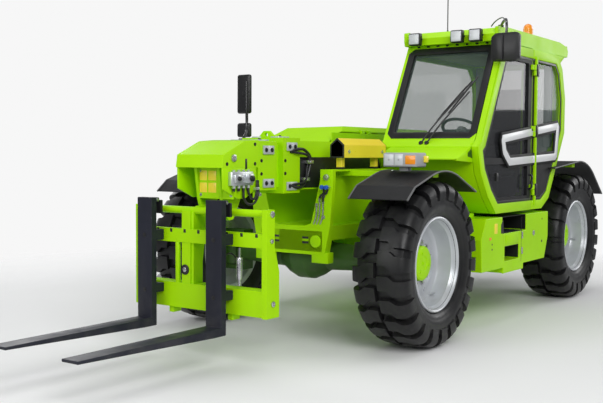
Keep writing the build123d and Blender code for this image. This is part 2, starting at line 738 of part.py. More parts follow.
door_inner = cab_left - cab_skin
frame_left = door_inner - move_gap
screen_y = (cab_right + 70, frame_left - 25)
screen_z = (1510, 2215)
rear_y = (cab_right + 90, frame_left - 70)
rear_z = (1620, 2150)
rear_x_cut = front_x - 2400
side_pane = dict(x_low=front_x - 2480, x_high=front_x - 850, z_low=1320, z_high=2190)
quarter_pane = dict(x_low=front_x - 2540, x_high=post_rear_x - 35, z_low=1330, z_high=2190)
with BuildPart() as cab_frame:
    cab_section(0, (cab_right, frame_left))
    cab_section(0, (frame_left - 5, cab_left), x_high=post_rear_x + 60)
    cab_section(cab_skin, (cab_right + cab_skin, frame_left - cab_skin), mode=Mode.SUBTRACT)
    cab_section(cab_skin, (frame_left - cab_skin - 1, cab_left - cab_skin), x_high=post_rear_x, mode=Mode.SUBTRACT)
    cab_section(80, (frame_left - cab_skin - 1, frame_left + 1), x_low=post_rear_x + 65, mode=Mode.SUBTRACT)
    cab_section(100, (cab_right - 1, cab_right + cab_skin + 1), **side_pane, mode=Mode.SUBTRACT)
    cab_section(90, (cab_left - cab_skin - 1, cab_left + 1), **quarter_pane, mode=Mode.SUBTRACT)
    block((front_x - 1300, front_x - 600), screen_y, screen_z, mode=Mode.SUBTRACT)
    block((front_x - 2700, rear_x_cut), rear_y, rear_z, mode=Mode.SUBTRACT)
    for z in hinge_heights:
        block((hinge_x - 28, hinge_x), (cab_left - 5, hinge_y), (z - 45, z - move_gap / 2))
        rod((hinge_x, hinge_y, z - 45), (hinge_x, hinge_y, z - move_gap / 2), hinge_radius)
        rod((hinge_x, hinge_y, z - 10), (hinge_x, hinge_y, z + 45), hinge_pin_radius)
save(cab_frame, "cab_frame")


def wrapped_pane(name_y, z, x_low=-9999, x_high=9999):
    """A pane that follows the cab's outline, a little inside its skin."""
    with BuildPart() as pane:
        cab_section(glass_inset, name_y, x_low, x_high, z[0], z[1])
        cab_section(glass_inset + glass, name_y, x_low - 50, x_high + 50, z[0] - 50, z[1] + 50, mode=Mode.SUBTRACT)
    return pane.part


def shrunk(span):
    return (span[0] + seat_gap, span[1] - seat_gap)


with BuildPart() as cab_windows:
    add(wrapped_pane(shrunk(screen_y), shrunk(screen_z), x_low=front_x - 1300))
    add(wrapped_pane(shrunk(rear_y), shrunk(rear_z), x_high=rear_x_cut))
    cab_section(100 + seat_gap, (cab_right + glass_inset, cab_right + glass_inset + glass), side_pane["x_low"] + seat_gap,
                side_pane["x_high"] - seat_gap, side_pane["z_low"] + seat_gap, side_pane["z_high"] - seat_gap)
    cab_section(90 + seat_gap, (cab_left - glass_inset - glass, cab_left - glass_inset), quarter_pane["x_low"] + seat_gap,
                quarter_pane["x_high"] - seat_gap, quarter_pane["z_low"] + seat_gap, quarter_pane["z_high"] - seat_gap)
save(cab_windows, "cab_windows")

roof_outline = [
    (front_x - 1110, cab_roof_z + seat_gap), (front_x - 1100, 2320), (front_x - 1150, roof_top - 15),
    (front_x - 1300, roof_top), (front_x - 2500, roof_top), (front_x - 2680, roof_top - 25),
    (front_x - 2720, 2320), (front_x - 2700, cab_roof_z + seat_gap),
]
antenna_top = 2700
with BuildPart() as cab_roof:
    side_plate(roof_outline, (cab_right + 5, cab_left - 10))
    rod((front_x - 1500, 400, roof_top - 5), (front_x - 1500, 400, antenna_top), 4)
save(cab_roof, "cab_roof")

door_top = cab_roof_z - 10
pane_rail = (1285, 1330)
door_window = dict(x_low=door_rear_x + 70, x_high=front_x, z_low=pane_rail[1], z_high=door_top - 60)
door_panel = dict(x_low=door_rear_x + 70, x_high=front_x, z_low=cab_floor + 70, z_high=pane_rail[0])
with BuildPart() as cab_door:
    cab_section(0, (door_inner, cab_left), x_low=door_rear_x, z_high=door_top)
    for opening in (door_window, door_panel):
        cab_section(120, (door_inner - 1, cab_left + 1), **opening, mode=Mode.SUBTRACT)
    for z in hinge_heights:
        block((hinge_x, door_rear_x + 30), (cab_left + move_gap, hinge_y), (z + move_gap / 2, z + 45))
        block((door_rear_x, door_rear_x + 30), (cab_left - 5, hinge_y), (z + move_gap / 2, z + 45))
        rod((hinge_x, hinge_y, z + move_gap / 2), (hinge_x, hinge_y, z + 45), hinge_radius)
        rod((hinge_x, hinge_y, z), (hinge_x, hinge_y, z + 46), hinge_pin_radius + pin_gap, mode=Mode.SUBTRACT)
save(cab_door, "cab_door")

with BuildPart() as door_glass:
    for opening in (door_window, door_panel):
        cab_section(120 + seat_gap, (cab_left - glass_inset - glass, cab_left - glass_inset),
                    opening["x_low"] + seat_gap, opening["x_high"], opening["z_low"] + seat_gap,
                    opening["z_high"] - seat_gap)
save(door_glass, "door_glass")

# Seat and steering column on the cab's floor
deck = cab_floor + cab_skin + seat_gap
seat_y = (cab_right + cab_left) / 2
with BuildPart() as seat:
    block((front_x - 2030, front_x - 1720), (seat_y - 170, seat_y + 170), (deck, deck + 230))
    block((front_x - 2150, front_x - 1640), (seat_y - 240, seat_y + 240), (deck + 225, deck + 340))
    side_plate([(front_x - 2150, deck + 330), (front_x - 2030, deck + 330), (front_x - 2170, 1980),
                (front_x - 2270, 1980)], (seat_y - 220, seat_y + 220))
save(seat, "seat")

wheel_centre = (front_x - 1350, seat_y, 1560)
with BuildPart() as steering_column:
    block((front_x - 1290, front_x - 1130), (seat_y - 130, seat_y + 130), (deck, 1300))
    rod((front_x - 1230, seat_y, 1280), wheel_centre, 32)
    with BuildSketch(Plane(origin=wheel_centre, z_dir=(-0.55, 0, 0.83))) as ring:
        Circle(180)
        Circle(155, mode=Mode.SUBTRACT)
        Rectangle(320, 30)
    extrude(ring.sketch, amount=22, both=True)
save(steering_column, "steering_column")

# Side box under the door, with its step
box_outline = [
    (front_x - 760, 450), (front_x - 745, 700), (front_x - 830, box_top), (front_x - 2165, box_top),
    (front_x - 2170, 640), (front_x - 2090, 450),
]
with BuildPart() as side_box:
    side_plate(box_outline, (box_inner, box_outer))
    block((front_x - 1650, front_x - 1150), (box_outer - 220, box_outer + 1), (725, box_top + 1), mode=Mode.SUBTRACT)
    block((front_x - 1500, front_x - 1200), (box_outer - 150, box_outer + 1), (500, 620), mode=Mode.SUBTRACT)
    block((front_x - 1600, front_x - 1180), (box_outer - 180, box_outer), (405, 455))
    for x in outrigger_xs:
        rod((x, 850, box_top - 5), (x, 850, cab_floor - seat_gap), 45)
save(side_box, "side_box")


# Engine side: an open-topped bay, the engine in it and the bonnet over it
with BuildPart() as engine_bay:
    block((bay_back, bay_front), (-bay_outer, -bay_inner - seat_gap), (bay_bottom, bay_top))
    block((bay_back + bay_wall, bay_front - bay_wall), (-bay_outer + bay_wall, -bay_inner - seat_gap - bay_wall),
          (bay_bottom + bay_wall, bay_top + 1), mode=Mode.SUBTRACT)
    wall_y = (-bay_inner - seat_gap - bay_wall, -bay_inner - seat_gap)
    block((bonnet_back, bay_front), wall_y, (bay_top - 10, bonnet_hinge_z - 20))
    for x in bonnet_hinge_xs:
        for low in (x - bonnet_knuckle - move_gap, x + move_gap + bonnet_knuckle):
            cross_plate([(-bonnet_inner, bonnet_hinge_z - bonnet_hinge_radius), (wall_y[1], bonnet_hinge_z - 40),
                         (wall_y[1], bonnet_hinge_z + 5), (-bonnet_inner, bonnet_hinge_z + bonnet_hinge_radius)],
                        (low, low + bonnet_knuckle))
            rod((low, -bonnet_inner, bonnet_hinge_z), (low + bonnet_knuckle, -bonnet_inner, bonnet_hinge_z),
                bonnet_hinge_radius)
        rod((x - 2 * move_gap, -bonnet_inner, bonnet_hinge_z), (x + bonnet_knuckle + 2 * move_gap, -bonnet_inner, bonnet_hinge_z),
            hinge_pin_radius)
save(engine_bay, "engine_bay")

with BuildPart() as engine_block:
    block((front_x - 1900, front_x - 1000), (-930, -450), (640, 1380))
    block((front_x - 1700, front_x - 1200), (-830, -550), (bay_bottom + bay_wall + seat_gap, 645))
save(engine_block, "engine_block")

bonnet_section = [
    (-bonnet_inner, bonnet_hinge_z), (-bonnet_inner - 40, bonnet_top), (-bonnet_outer + 110, bonnet_top - 10),
    (-bonnet_outer + 20, bonnet_top - 110), (-bonnet_outer, bonnet_edge), (-bonnet_inner, bonnet_edge),
]
bonnet_side = [
    (bonnet_front, bonnet_edge), (bonnet_front - 60, 1460), (bonnet_front - 330, bonnet_top), (bonnet_back, bonnet_top),
    (bonnet_back, bonnet_rear_edge), (bay_back - 40, bonnet_rear_edge), (bay_back, bonnet_edge),
]


def bonnet_form(skin):
    """The bonnet's outer form, or the room inside it, which is open below and towards the boom."""
    with BuildSketch(Plane.XZ.offset(bonnet_inner - 50)) as side:
        with BuildLine():
            Polyline(*bonnet_side, close=True)
        make_face()
        if skin:
            offset(amount=-skin, kind=Kind.INTERSECTION)
    with BuildSketch(Plane.YZ.offset(bonnet_back - 10)) as section:
        with BuildLine():
            Polyline(*bonnet_section, close=True)
        make_face()
        if skin:
            offset(amount=-skin, kind=Kind.INTERSECTION)
    with BuildPart() as form:
        extrude(side.sketch, amount=bonnet_outer)
        extrude(section.sketch, amount=bonnet_front - bonnet_back + 20, mode=Mode.INTERSECT)
    return form.part


with BuildPart() as engine_bonnet:
    add(bonnet_form(0))
    add(bonnet_form(bonnet_skin), mode=Mode.SUBTRACT)
    room = bonnet_skin + 1
    block((bay_back + bonnet_skin, bonnet_front - bonnet_skin - 10), (-bonnet_outer + room, -bonnet_inner - bonnet_skin),
          (bonnet_edge - 1, bonnet_edge + 20), mode=Mode.SUBTRACT)
    block((bonnet_back + bonnet_skin, bay_back), (-bonnet_outer + room + 10, -bonnet_inner - bonnet_skin),
          (bonnet_rear_edge - 1, bonnet_rear_edge + 20), mode=Mode.SUBTRACT)
    block((bonnet_back - 1, bonnet_front + 1), (-bonnet_inner - bonnet_skin - 1, -bonnet_inner + 20),
          (bonnet_edge - 1, bonnet_hinge_z - bonnet_skin), mode=Mode.SUBTRACT)
    for x in bonnet_hinge_xs:
        ends_x = (x - bonnet_knuckle - 2 * move_gap, x + 2 * bonnet_knuckle + 2 * move_gap)
        rod((ends_x[0], -bonnet_inner, bonnet_hinge_z), (ends_x[1], -bonnet_inner, bonnet_hinge_z),
            bonnet_hinge_radius + move_gap, mode=Mode.SUBTRACT)
        rod((x, -bonnet_inner, bonnet_hinge_z), (x + bonnet_knuckle, -bonnet_inner, bonnet_hinge_z),
            bonnet_hinge_radius)
        block((x, x + bonnet_knuckle), (-bonnet_inner - bonnet_hinge_radius - 2 * move_gap, -bonnet_inner),
              (bonnet_hinge_z - bonnet_hinge_radius, bonnet_hinge_z + bonnet_hinge_radius))
        rod((x - 1, -bonnet_inner, bonnet_hinge_z), (x + bonnet_knuckle + 1, -bonnet_inner, bonnet_hinge_z),
            hinge_pin_radius + pin_gap, mode=Mode.SUBTRACT)
save(engine_bonnet, "engine_bonnet")


# Lamps, mirrors, beacon, the stowed boom strut and the tail
lamp_foot = tyre_radius + sqrt(front_fender_radius ** 2 - 90 ** 2) + seat_gap
with BuildPart() as headlamps:
    for side in sides.values():
        block((front_x + 50, front_x + 200), (side * 750, side * 1020), (1270, 1370))
        block((front_x + 60, front_x + 110), (side * 850, side * 920), (lamp_foot, 1275))
save(headlamps, "headlamps")

roof_face = front_x - 1100 + seat_gap
with BuildPart() as work_lamps:
    for y in (cab_right + 140, cab_left - 340, cab_left - 180):
        block((roof_face, roof_face + 30), (y - 20, y + 20), (2295, 2320))
        block((roof_face + 25, roof_face + 85), (y - 55, y + 55), (2255, 2360))
save(work_lamps, "work_lamps")

mirror_y = (side_reach - 240, side_reach)
mirror_front = front_x - 1010
mirror_arm = (mirror_front - 25, side_reach - 120, roof_top + 15)
mirror_foot = (front_x - 1310, cab_left - 80, mirror_arm[2])
tube_radius = 13
post_radius = 14
post_x = front_x - 240
post_y = 250 - side_reach
post_foot_z = tyre_radius + sqrt(front_fender_radius ** 2 - (front_fender_x - post_x - post_radius) ** 2) + seat_gap
post_top = (front_x - 640, 120 - side_reach, 2000)
mirror_plate = 150
with BuildPart() as mirrors:
    block((mirror_front - 50, mirror_front), mirror_y, (2080, 2310))
    rod((mirror_foot[0], mirror_foot[1], roof_top + seat_gap), (mirror_foot[0], mirror_foot[1], roof_top + 40), 25)
    rod(mirror_foot, mirror_arm, tube_radius)
    rod((mirror_arm[0], mirror_arm[1], roof_top + 40), (mirror_arm[0], mirror_arm[1], 2300), tube_radius + 4)
    rod((post_x, post_y, post_foot_z), (post_x, post_y, 1300), post_radius)
    rod((post_x, post_y, 1290), (post_top[0], post_top[1], 1560), post_radius)
    rod((post_top[0], post_top[1], 1550), post_top, post_radius)
    for z in ((1710, 2060), (1500, 1630)):
        block((post_top[0] - 50, post_top[0]), (-side_reach, mirror_plate - side_reach), z)
save(mirrors, "mirrors")

with BuildPart() as beacon:
    rod((front_x - 2200, 850, roof_top + seat_gap), (front_x - 2200, 850, roof_top + 25), 55)
    rod((front_x - 2200, 850, roof_top + 20), (front_x - 2200, 850, roof_top + 150), 45)
save(beacon, "beacon")

strut_section = [(280, 1330), (400, 1330), (400, 1425), (340, 1475), (280, 1425)]
strut_room = [(288, 1338), (392, 1338), (392, 1421), (340, 1465), (288, 1421)]
with BuildPart() as safety_strut:
    cross_plate(strut_section, (front_x - 460, front_x + 150))
    cross_plate(strut_room, (front_x - 461, front_x + 151), mode=Mode.SUBTRACT)
    for x in (front_x - 400, front_x + 80):
        block((x - 20, x + 20), (300, 350), (trough_top + seat_gap, 1335))
save(safety_strut, "safety_strut")

jaw_radius = 16
jaw_x = tail_x + 40
jaw_ears = ((505, 535), (615, 645))
with BuildPart() as rear_bumper:
    floor_plate([(tail_plate_x - 30 - seat_gap, -480), (tail_plate_x - 30 - seat_gap, 480), (tail_x + 60, 480),
                 (tail_x + 20, 400), (tail_x + 20, -400), (tail_x + 60, -480)], (660, 950))
    block((tail_x + 60, tail_x + 110), (-90, 90), (500, 665))
    for low, high in jaw_ears:
        block((jaw_x, tail_x + 65), (-60, 60), (low, high))
        rod((jaw_x, 0, low), (jaw_x, 0, high), jaw_x - tail_x)
    rod((jaw_x, 0, 500), (jaw_x, 0, 650), jaw_radius, mode=Mode.SUBTRACT)
save(rear_bumper, "rear_bumper")

with BuildPart() as rear_lamps:
    for side in sides.values():
        block((tail_x + 30, tail_x + 90), (side * 300, side * 460), (950 + seat_gap, 1050))
save(rear_lamps, "rear_lamps")
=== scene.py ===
import json
import math

import bmesh
import bpy
from mathutils import Matrix, Vector

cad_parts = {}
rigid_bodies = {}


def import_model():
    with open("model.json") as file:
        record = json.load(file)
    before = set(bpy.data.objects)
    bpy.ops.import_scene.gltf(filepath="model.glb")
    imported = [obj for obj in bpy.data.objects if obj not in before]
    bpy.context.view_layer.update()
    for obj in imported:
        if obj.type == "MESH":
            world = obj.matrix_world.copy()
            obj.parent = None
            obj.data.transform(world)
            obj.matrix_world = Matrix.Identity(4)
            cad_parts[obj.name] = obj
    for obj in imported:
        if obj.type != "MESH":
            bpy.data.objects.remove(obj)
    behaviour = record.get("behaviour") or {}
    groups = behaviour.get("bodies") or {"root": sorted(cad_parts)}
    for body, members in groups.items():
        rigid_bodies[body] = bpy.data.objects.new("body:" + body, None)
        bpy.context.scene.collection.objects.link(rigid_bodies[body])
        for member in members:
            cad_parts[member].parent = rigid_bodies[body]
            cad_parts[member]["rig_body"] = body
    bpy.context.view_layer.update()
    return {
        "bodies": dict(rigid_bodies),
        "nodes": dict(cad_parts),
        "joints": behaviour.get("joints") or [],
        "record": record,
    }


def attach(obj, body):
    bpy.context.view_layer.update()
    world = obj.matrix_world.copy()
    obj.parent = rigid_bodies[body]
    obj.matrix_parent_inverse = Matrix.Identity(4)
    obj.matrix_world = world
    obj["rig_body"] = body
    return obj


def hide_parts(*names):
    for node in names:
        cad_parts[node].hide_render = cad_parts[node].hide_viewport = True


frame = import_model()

nodes = frame["nodes"]
bpy.context.scene.view_settings.view_transform = "Standard"
frontX = 0.52          # front axle line
rearX = -2.38          # rear axle line
axleZ = 0.59
wheelY = 0.925
print("frame loaded:", len(nodes), "nodes")


# material helpers
def newMaterial(name, rough, metal=0.0, coat=0.0):
    material = bpy.data.materials.new(name)
    material.use_nodes = True
    shader = material.node_tree.nodes["Principled BSDF"]
    shader.inputs["Roughness"].default_value = rough
    shader.inputs["Metallic"].default_value = metal
    shader.inputs["Coat Weight"].default_value = coat
    shader.inputs["Coat Roughness"].default_value = 0.08
    return material, material.node_tree, shader


def noiseOn(tree, scale, detail=3.0, stretch=(1, 1, 1)):
    coords = tree.nodes.new("ShaderNodeTexCoord")
    mapping = tree.nodes.new("ShaderNodeMapping")
    mapping.inputs["Scale"].default_value = stretch
    texture = tree.nodes.new("ShaderNodeTexNoise")
    texture.inputs["Scale"].default_value = scale
    texture.inputs["Detail"].default_value = detail
    texture.inputs["Roughness"].default_value = 0.55
    tree.links.new(coords.outputs["Object"], mapping.inputs["Vector"])
    tree.links.new(mapping.outputs["Vector"], texture.inputs["Vector"])
    return texture.outputs["Fac"]


def rangeOf(tree, value, fromLow, fromHigh, toLow, toHigh):
    node = tree.nodes.new("ShaderNodeMapRange")
    for socket, number in zip(("From Min", "From Max", "To Min", "To Max"),
                              (fromLow, fromHigh, toLow, toHigh)):
        node.inputs[socket].default_value = number
    tree.links.new(value, node.inputs["Value"])
    return node.outputs["Result"]


def blendColours(tree, factor, first, second):
    node = tree.nodes.new("ShaderNodeMix")
    node.data_type = "RGBA"
    tree.links.new(factor, node.inputs["Factor"])
    for socket, colour in ((node.inputs["A"], first), (node.inputs["B"], second)):
        if isinstance(colour, tuple):
            socket.default_value = (*colour, 1)
        else:
            tree.links.new(colour, socket)
    return node.outputs["Result"]


def product(tree, first, second):
    node = tree.nodes.new("ShaderNodeMath")
    node.operation = "MULTIPLY"
    tree.links.new(first, node.inputs[0])
    tree.links.new(second, node.inputs[1])
    return node.outputs["Value"]


def heightOn(tree, low, high):
    coords = tree.nodes.new("ShaderNodeTexCoord")
    split = tree.nodes.new("ShaderNodeSeparateXYZ")
    tree.links.new(coords.outputs["Object"], split.inputs["Vector"])
    return rangeOf(tree, split.outputs["Z"], low, high, 1.0, 0.0)


def bumpFrom(tree, shader, value, strength, distance):
    bump = tree.nodes.new("ShaderNodeBump")
    bump.inputs["Strength"].default_value = strength
    bump.inputs["Distance"].default_value = distance
    tree.links.new(value, bump.inputs["Height"])
    tree.links.new(bump.outputs["Normal"], shader.inputs["Normal"])


def weathered(name, look):
    material, tree, shader = newMaterial(name, look["rough"], look.get("metal", 0.0), look.get("coat", 0.0))
    shader.inputs["Specular IOR Level"].default_value = look.get("sheen", 0.5)
    patches = noiseOn(tree, look.get("patch", 1.7), 4.0)
    colour = blendColours(tree, rangeOf(tree, patches, 0.3, 0.7, 0.0, 1.0), look["colour"], look["shade"])
    if "dust" in look:      # dust that gathers low down
        low = heightOn(tree, *look.get("dustHeights", (0.2, 1.1)))
        spots = rangeOf(tree, noiseOn(tree, 9.0, 6.0), 0.42, 0.7, 0.0, look.get("dustAmount", 0.35))
        colour = blendColours(tree, product(tree, low, spots), colour, look["dust"])
    if "chip" in look:      # small rubbed marks
        marks = rangeOf(tree, noiseOn(tree, look.get("chipScale", 38.0), 8.0), 0.7, 0.74, 0.0,
                        look.get("chipAmount", 0.5))
        colour = blendColours(tree, marks, colour, look["chip"])
    tree.links.new(colour, shader.inputs["Base Color"])
    smears = noiseOn(tree, look.get("smear", 6.0), 5.0, look.get("smearStretch", (1, 1, 1)))
    spread = look.get("roughSpread", 0.08)
    tree.links.new(rangeOf(tree, smears, 0.3, 0.7, look["rough"] - spread, look["rough"] + spread),
                   shader.inputs["Roughness"])
    grain = noiseOn(tree, look.get("grain", 220.0), 2.0)
    bumpFrom(tree, shader, grain, look.get("grainStrength", 0.12), look.get("grainDepth", 0.0004))
    return material


# each paint or plastic: its look, and the name of the record slot listed with it
paints = {
    "limePaint": {
        "slot": "lime_paint", "colour": (0.4, 0.77, 0.001), "shade": (0.36, 0.71, 0.001), "rough": 0.4,
        "coat": 0.02,
        "sheen": 0.14, "dust": (0.3, 0.38, 0.03), "dustAmount": 0.12, "chip": (0.2, 0.44, 0.01),
        "chipAmount": 0.35,
        "grain": 320.0, "grainStrength": 0.05},
    "greyInterior": {
        "slot": "cab_grey", "colour": (0.36, 0.37, 0.38), "shade": (0.31, 0.32, 0.33), "rough": 0.6,
        "grain": 500.0,
        "grainStrength": 0.3},
    # painted shade: a darker orange copy of the yellow paint, for the shaded inside of the strut's channel;
    # it also colours the side box's small orange label
    "shadedYellowAndOrangeLabel": {
        "slot": "yellow_paint", "colour": (0.85, 0.33, 0.01), "shade": (0.75, 0.27, 0.01), "rough": 0.4},
    "bluePlastic": {
        "slot": "black_plastic", "colour": (0.02, 0.1, 0.55), "shade": (0.015, 0.08, 0.45), "rough": 0.4},
    # dark green paint of the axles; also painted shade on the cowl's sunken panel
    "deepGreenPaintAndSunkenShade": {
        "slot": "dark_green_paint", "colour": (0.035, 0.115, 0.006), "shade": (0.022, 0.075, 0.004),
        "rough": 0.45,
        "dust": (0.1, 0.1, 0.06), "dustAmount": 0.5, "grainStrength": 0.2},
    "slatePaint": {
        "slot": "slate_paint", "colour": (0.017, 0.019, 0.03), "shade": (0.012, 0.013, 0.022),
        "rough": 0.46,
        "sheen": 0.26, "chip": (0.16, 0.16, 0.17), "chipAmount": 0.4, "dust": (0.11, 0.105, 0.095),
        "dustHeights": (0.1, 0.5), "grainStrength": 0.15},
    "silverPaint": {
        "slot": "silver_paint", "colour": (0.56, 0.58, 0.61), "shade": (0.49, 0.51, 0.54), "rough": 0.34,
        "metal": 0.25, "coat": 0.2, "dust": (0.3, 0.27, 0.22), "dustAmount": 0.3,
        "dustHeights": (0.15, 0.8),
        "grain": 500.0, "grainStrength": 0.08},
    "yellowPaint": {
        "slot": "yellow_paint", "colour": (0.96, 0.76, 0.045), "shade": (0.9, 0.69, 0.035), "rough": 0.35,
        "coat": 0.2, "chip": (0.3, 0.2, 0.03), "chipAmount": 0.4},
    "charcoalPlastic": {
        "slot": "charcoal_plastic", "colour": (0.012, 0.012, 0.013), "shade": (0.009, 0.009, 0.01),
        "rough": 0.56,
        "roughSpread": 0.06, "sheen": 0.24, "dust": (0.05, 0.048, 0.042), "dustAmount": 0.2, "grain": 650.0,
        "grainStrength": 0.35, "grainDepth": 0.0005},
    "blackPlastic": {
        "slot": "black_plastic", "colour": (0.014, 0.014, 0.015), "shade": (0.01, 0.01, 0.011),
        "rough": 0.38,
        "grain": 500.0, "grainStrength": 0.2},
    # painted highlight: a lighter grey copy of the charcoal plastic, for the fender edges where light
    # catches
    "charcoalEdgeHighlight": {
        "slot": "charcoal_plastic", "colour": (0.105, 0.105, 0.108), "shade": (0.085, 0.085, 0.088),
        "rough": 0.5,
        "grain": 600.0, "grainStrength": 0.3},
    "paleTrim": {
        "slot": "silver_paint", "colour": (0.74, 0.75, 0.76), "shade": (0.68, 0.69, 0.7), "rough": 0.36,
        "coat": 0.3,
        "grainStrength": 0.06},
    "steelBright": {
        "slot": "silver_paint", "colour": (0.62, 0.62, 0.63), "shade": (0.52, 0.52, 0.54), "rough": 0.28,
        "metal": 0.9, "smearStretch": (1, 1, 6), "grain": 420.0, "grainStrength": 0.1},
    "chromeRod": {
        "slot": "chrome_rod", "colour": (0.72, 0.73, 0.75), "shade": (0.66, 0.67, 0.69), "rough": 0.12,
        "metal": 1.0,
        "roughSpread": 0.04, "smearStretch": (1, 8, 8), "grainStrength": 0.02},
    "castMetal": {
        "slot": "cast_engine", "colour": (0.085, 0.085, 0.088), "shade": (0.05, 0.05, 0.052), "rough": 0.6,
        "metal": 0.4, "grain": 120.0, "grainStrength": 0.5, "grainDepth": 0.0015},
    "cylinderBlack": {
        "slot": "black_plastic", "colour": (0.02, 0.02, 0.021), "shade": (0.014, 0.014, 0.015),
        "rough": 0.28,
        "coat": 0.4, "grainStrength": 0.05},
    "hoseRubber": {
        "slot": "black_plastic", "colour": (0.013, 0.013, 0.014), "shade": (0.02, 0.02, 0.021),
        "rough": 0.4,
        "grain": 900.0, "grainStrength": 0.4, "grainDepth": 0.0003},
    "aluminium": {
        "slot": "silver_paint", "colour": (0.66, 0.68, 0.7), "shade": (0.56, 0.58, 0.61), "rough": 0.33,
        "metal": 0.75, "grain": 300.0, "grainStrength": 0.15},
}
(lime, greyTrim, shadedYellowAndOrangeLabel, couplerBlue, deepGreenAndSunkenShade, slate, silver, yellow, charcoal, black, edgeHighlightGrey, pale,
 bright, chrome, cast, glossBlack, hose, alloy) = (weathered(name, look) for name, look in paints.items())
slotOf = {name: look["slot"] for name, look in paints.items()}
slotOf.update(tyreRubber="tyre_rubber", seatCloth="seat_fabric", whiteLens="lamp_lens",
              amberLens="amber_lens", redLens="red_lens")


def tyreRubber():
    material, tree, shader = newMaterial("tyreRubber", 0.42)
    shader.inputs["Specular IOR Level"].default_value = 0.34
    mottling = noiseOn(tree, 14.0, 6.0)
    colour = blendColours(tree, rangeOf(tree, mottling, 0.35, 0.7, 0.0, 1.0), (0.006, 0.006, 0.007),
                          (0.012, 0.012, 0.012))
    low = heightOn(tree, 0.02, 0.45)
    scuffs = rangeOf(tree, noiseOn(tree, 30.0, 8.0), 0.45, 0.7, 0.0, 0.45)
    colour = blendColours(tree, product(tree, low, scuffs), colour, (0.045, 0.042, 0.038))
    tree.links.new(colour, shader.inputs["Base Color"])
    tree.links.new(rangeOf(tree, mottling, 0.3, 0.7, 0.3, 0.5), shader.inputs["Roughness"])
    bumpFrom(tree, shader, noiseOn(tree, 260.0, 4.0), 0.35, 0.0006)
    return material


def seatCloth():
    material, tree, shader = newMaterial("seatCloth", 0.85)
    coords = tree.nodes.new("ShaderNodeTexCoord")
    weave = tree.nodes.new("ShaderNodeTexWave")
    weave.inputs["Scale"].default_value = 190.0
    weave.inputs["Distortion"].default_value = 1.2
    tree.links.new(coords.outputs["Object"], weave.inputs["Vector"])
    tree.links.new(blendColours(tree, weave.outputs["Fac"], (0.02, 0.02, 0.022), (0.034, 0.034, 0.037)),
                   shader.inputs["Base Color"])
    shader.inputs["Sheen Weight"].default_value = 0.25
    tree.links.new(rangeOf(tree, noiseOn(tree, 40.0), 0.3, 0.7, 0.75, 0.92), shader.inputs["Roughness"])
    bumpFrom(tree, shader, weave.outputs["Fac"], 0.4, 0.0006)
    return material


def clearGlass(name, tint, amount):
    material, tree, shader = newMaterial(name, 0.03)
    haze = noiseOn(tree, 3.0, 5.0)
    tree.links.new(blendColours(tree, rangeOf(tree, haze, 0.3, 0.7, 0.0, 1.0), tint,
                                tuple(0.93 * c for c in tint)), shader.inputs["Base Color"])
    tree.links.new(rangeOf(tree, haze, 0.3, 0.7, 0.02, 0.06), shader.inputs["Roughness"])
    shader.inputs["Alpha"].default_value = amount
    shader.inputs["IOR"].default_value = 1.45
    return material


def lampGlass(name, colour, glow):
    material, tree, shader = newMaterial(name, 0.12, coat=0.6)
    coords = tree.nodes.new("ShaderNodeTexCoord")
    flutes = tree.nodes.new("ShaderNodeTexWave")
    flutes.bands_direction = "Y"
    flutes.inputs["Scale"].default_value = 60.0
    tree.links.new(coords.outputs["Object"], flutes.inputs["Vector"])
    tree.links.new(blendColours(tree, flutes.outputs["Fac"], colour, tuple(0.82 * c for c in colour)),
                   shader.inputs["Base Color"])
    tree.links.new(rangeOf(tree, noiseOn(tree, 30.0), 0.3, 0.7, 0.08, 0.18), shader.inputs["Roughness"])
    shader.inputs["Emission Color"].default_value = (*colour, 1)
    shader.inputs["Emission Strength"].default_value = glow
    bumpFrom(tree, shader, flutes.outputs["Fac"], 0.3, 0.0008)
    return material


rubber = tyreRubber()
cloth = seatCloth()
screenGlass = clearGlass("screenGlass", (0.1, 0.14, 0.13), 0.26)
doorGlass = clearGlass("doorGlass", (0.035, 0.036, 0.04), 0.5)
whiteLens = lampGlass("whiteLens", (0.6, 0.62, 0.65), 0.02)
amberLens = lampGlass("amberLens", (0.95, 0.3, 0.01), 0.05)
redLens = lampGlass("redLens", (0.55, 0.01, 0.01), 0.02)
print("materials ready")


# shape helpers: each adds to a bmesh in the shared frame, in metres
def newMeshes(count):
    return [bmesh.new() for _ in range(count)]


def roundEdges(bm, edges, width, segments=2):
    bmesh.ops.bevel(bm, geom=edges, offset=width, offset_type="OFFSET", affect="EDGES", segments=segments,
                    profile=0.5, material=-1)


def thicken(bm, faces, way):
    # extrudes the faces along a way and returns the new corners
    grown = bmesh.ops.extrude_face_region(bm, geom=faces, use_keep_orig=True)["geom"]
    top = [g for g in grown if isinstance(g, bmesh.types.BMVert)]
    bmesh.ops.translate(bm, vec=way, verts=top)
    return top


def insetFace(bm, face, width):
    bmesh.ops.inset_region(bm, faces=[face], thickness=width, use_boundary=True, use_even_offset=True)


def span(side, low, high):
    return sorted((side * low, side * high))


def addBox(bm, x, y, z, edge=0.0, segments=2):
    made = bmesh.ops.create_cube(bm, size=1.0)["verts"]
    size = (abs(x[1] - x[0]), abs(y[1] - y[0]), abs(z[1] - z[0]))
    bmesh.ops.scale(bm, vec=size, verts=made)
    bmesh.ops.translate(bm, vec=((x[0] + x[1]) / 2, (y[0] + y[1]) / 2, (z[0] + z[1]) / 2), verts=made)
    if edge:
        edges = list({e for v in made for e in v.link_edges})
        roundEdges(bm, edges, min(edge, min(size) * 0.45), segments)


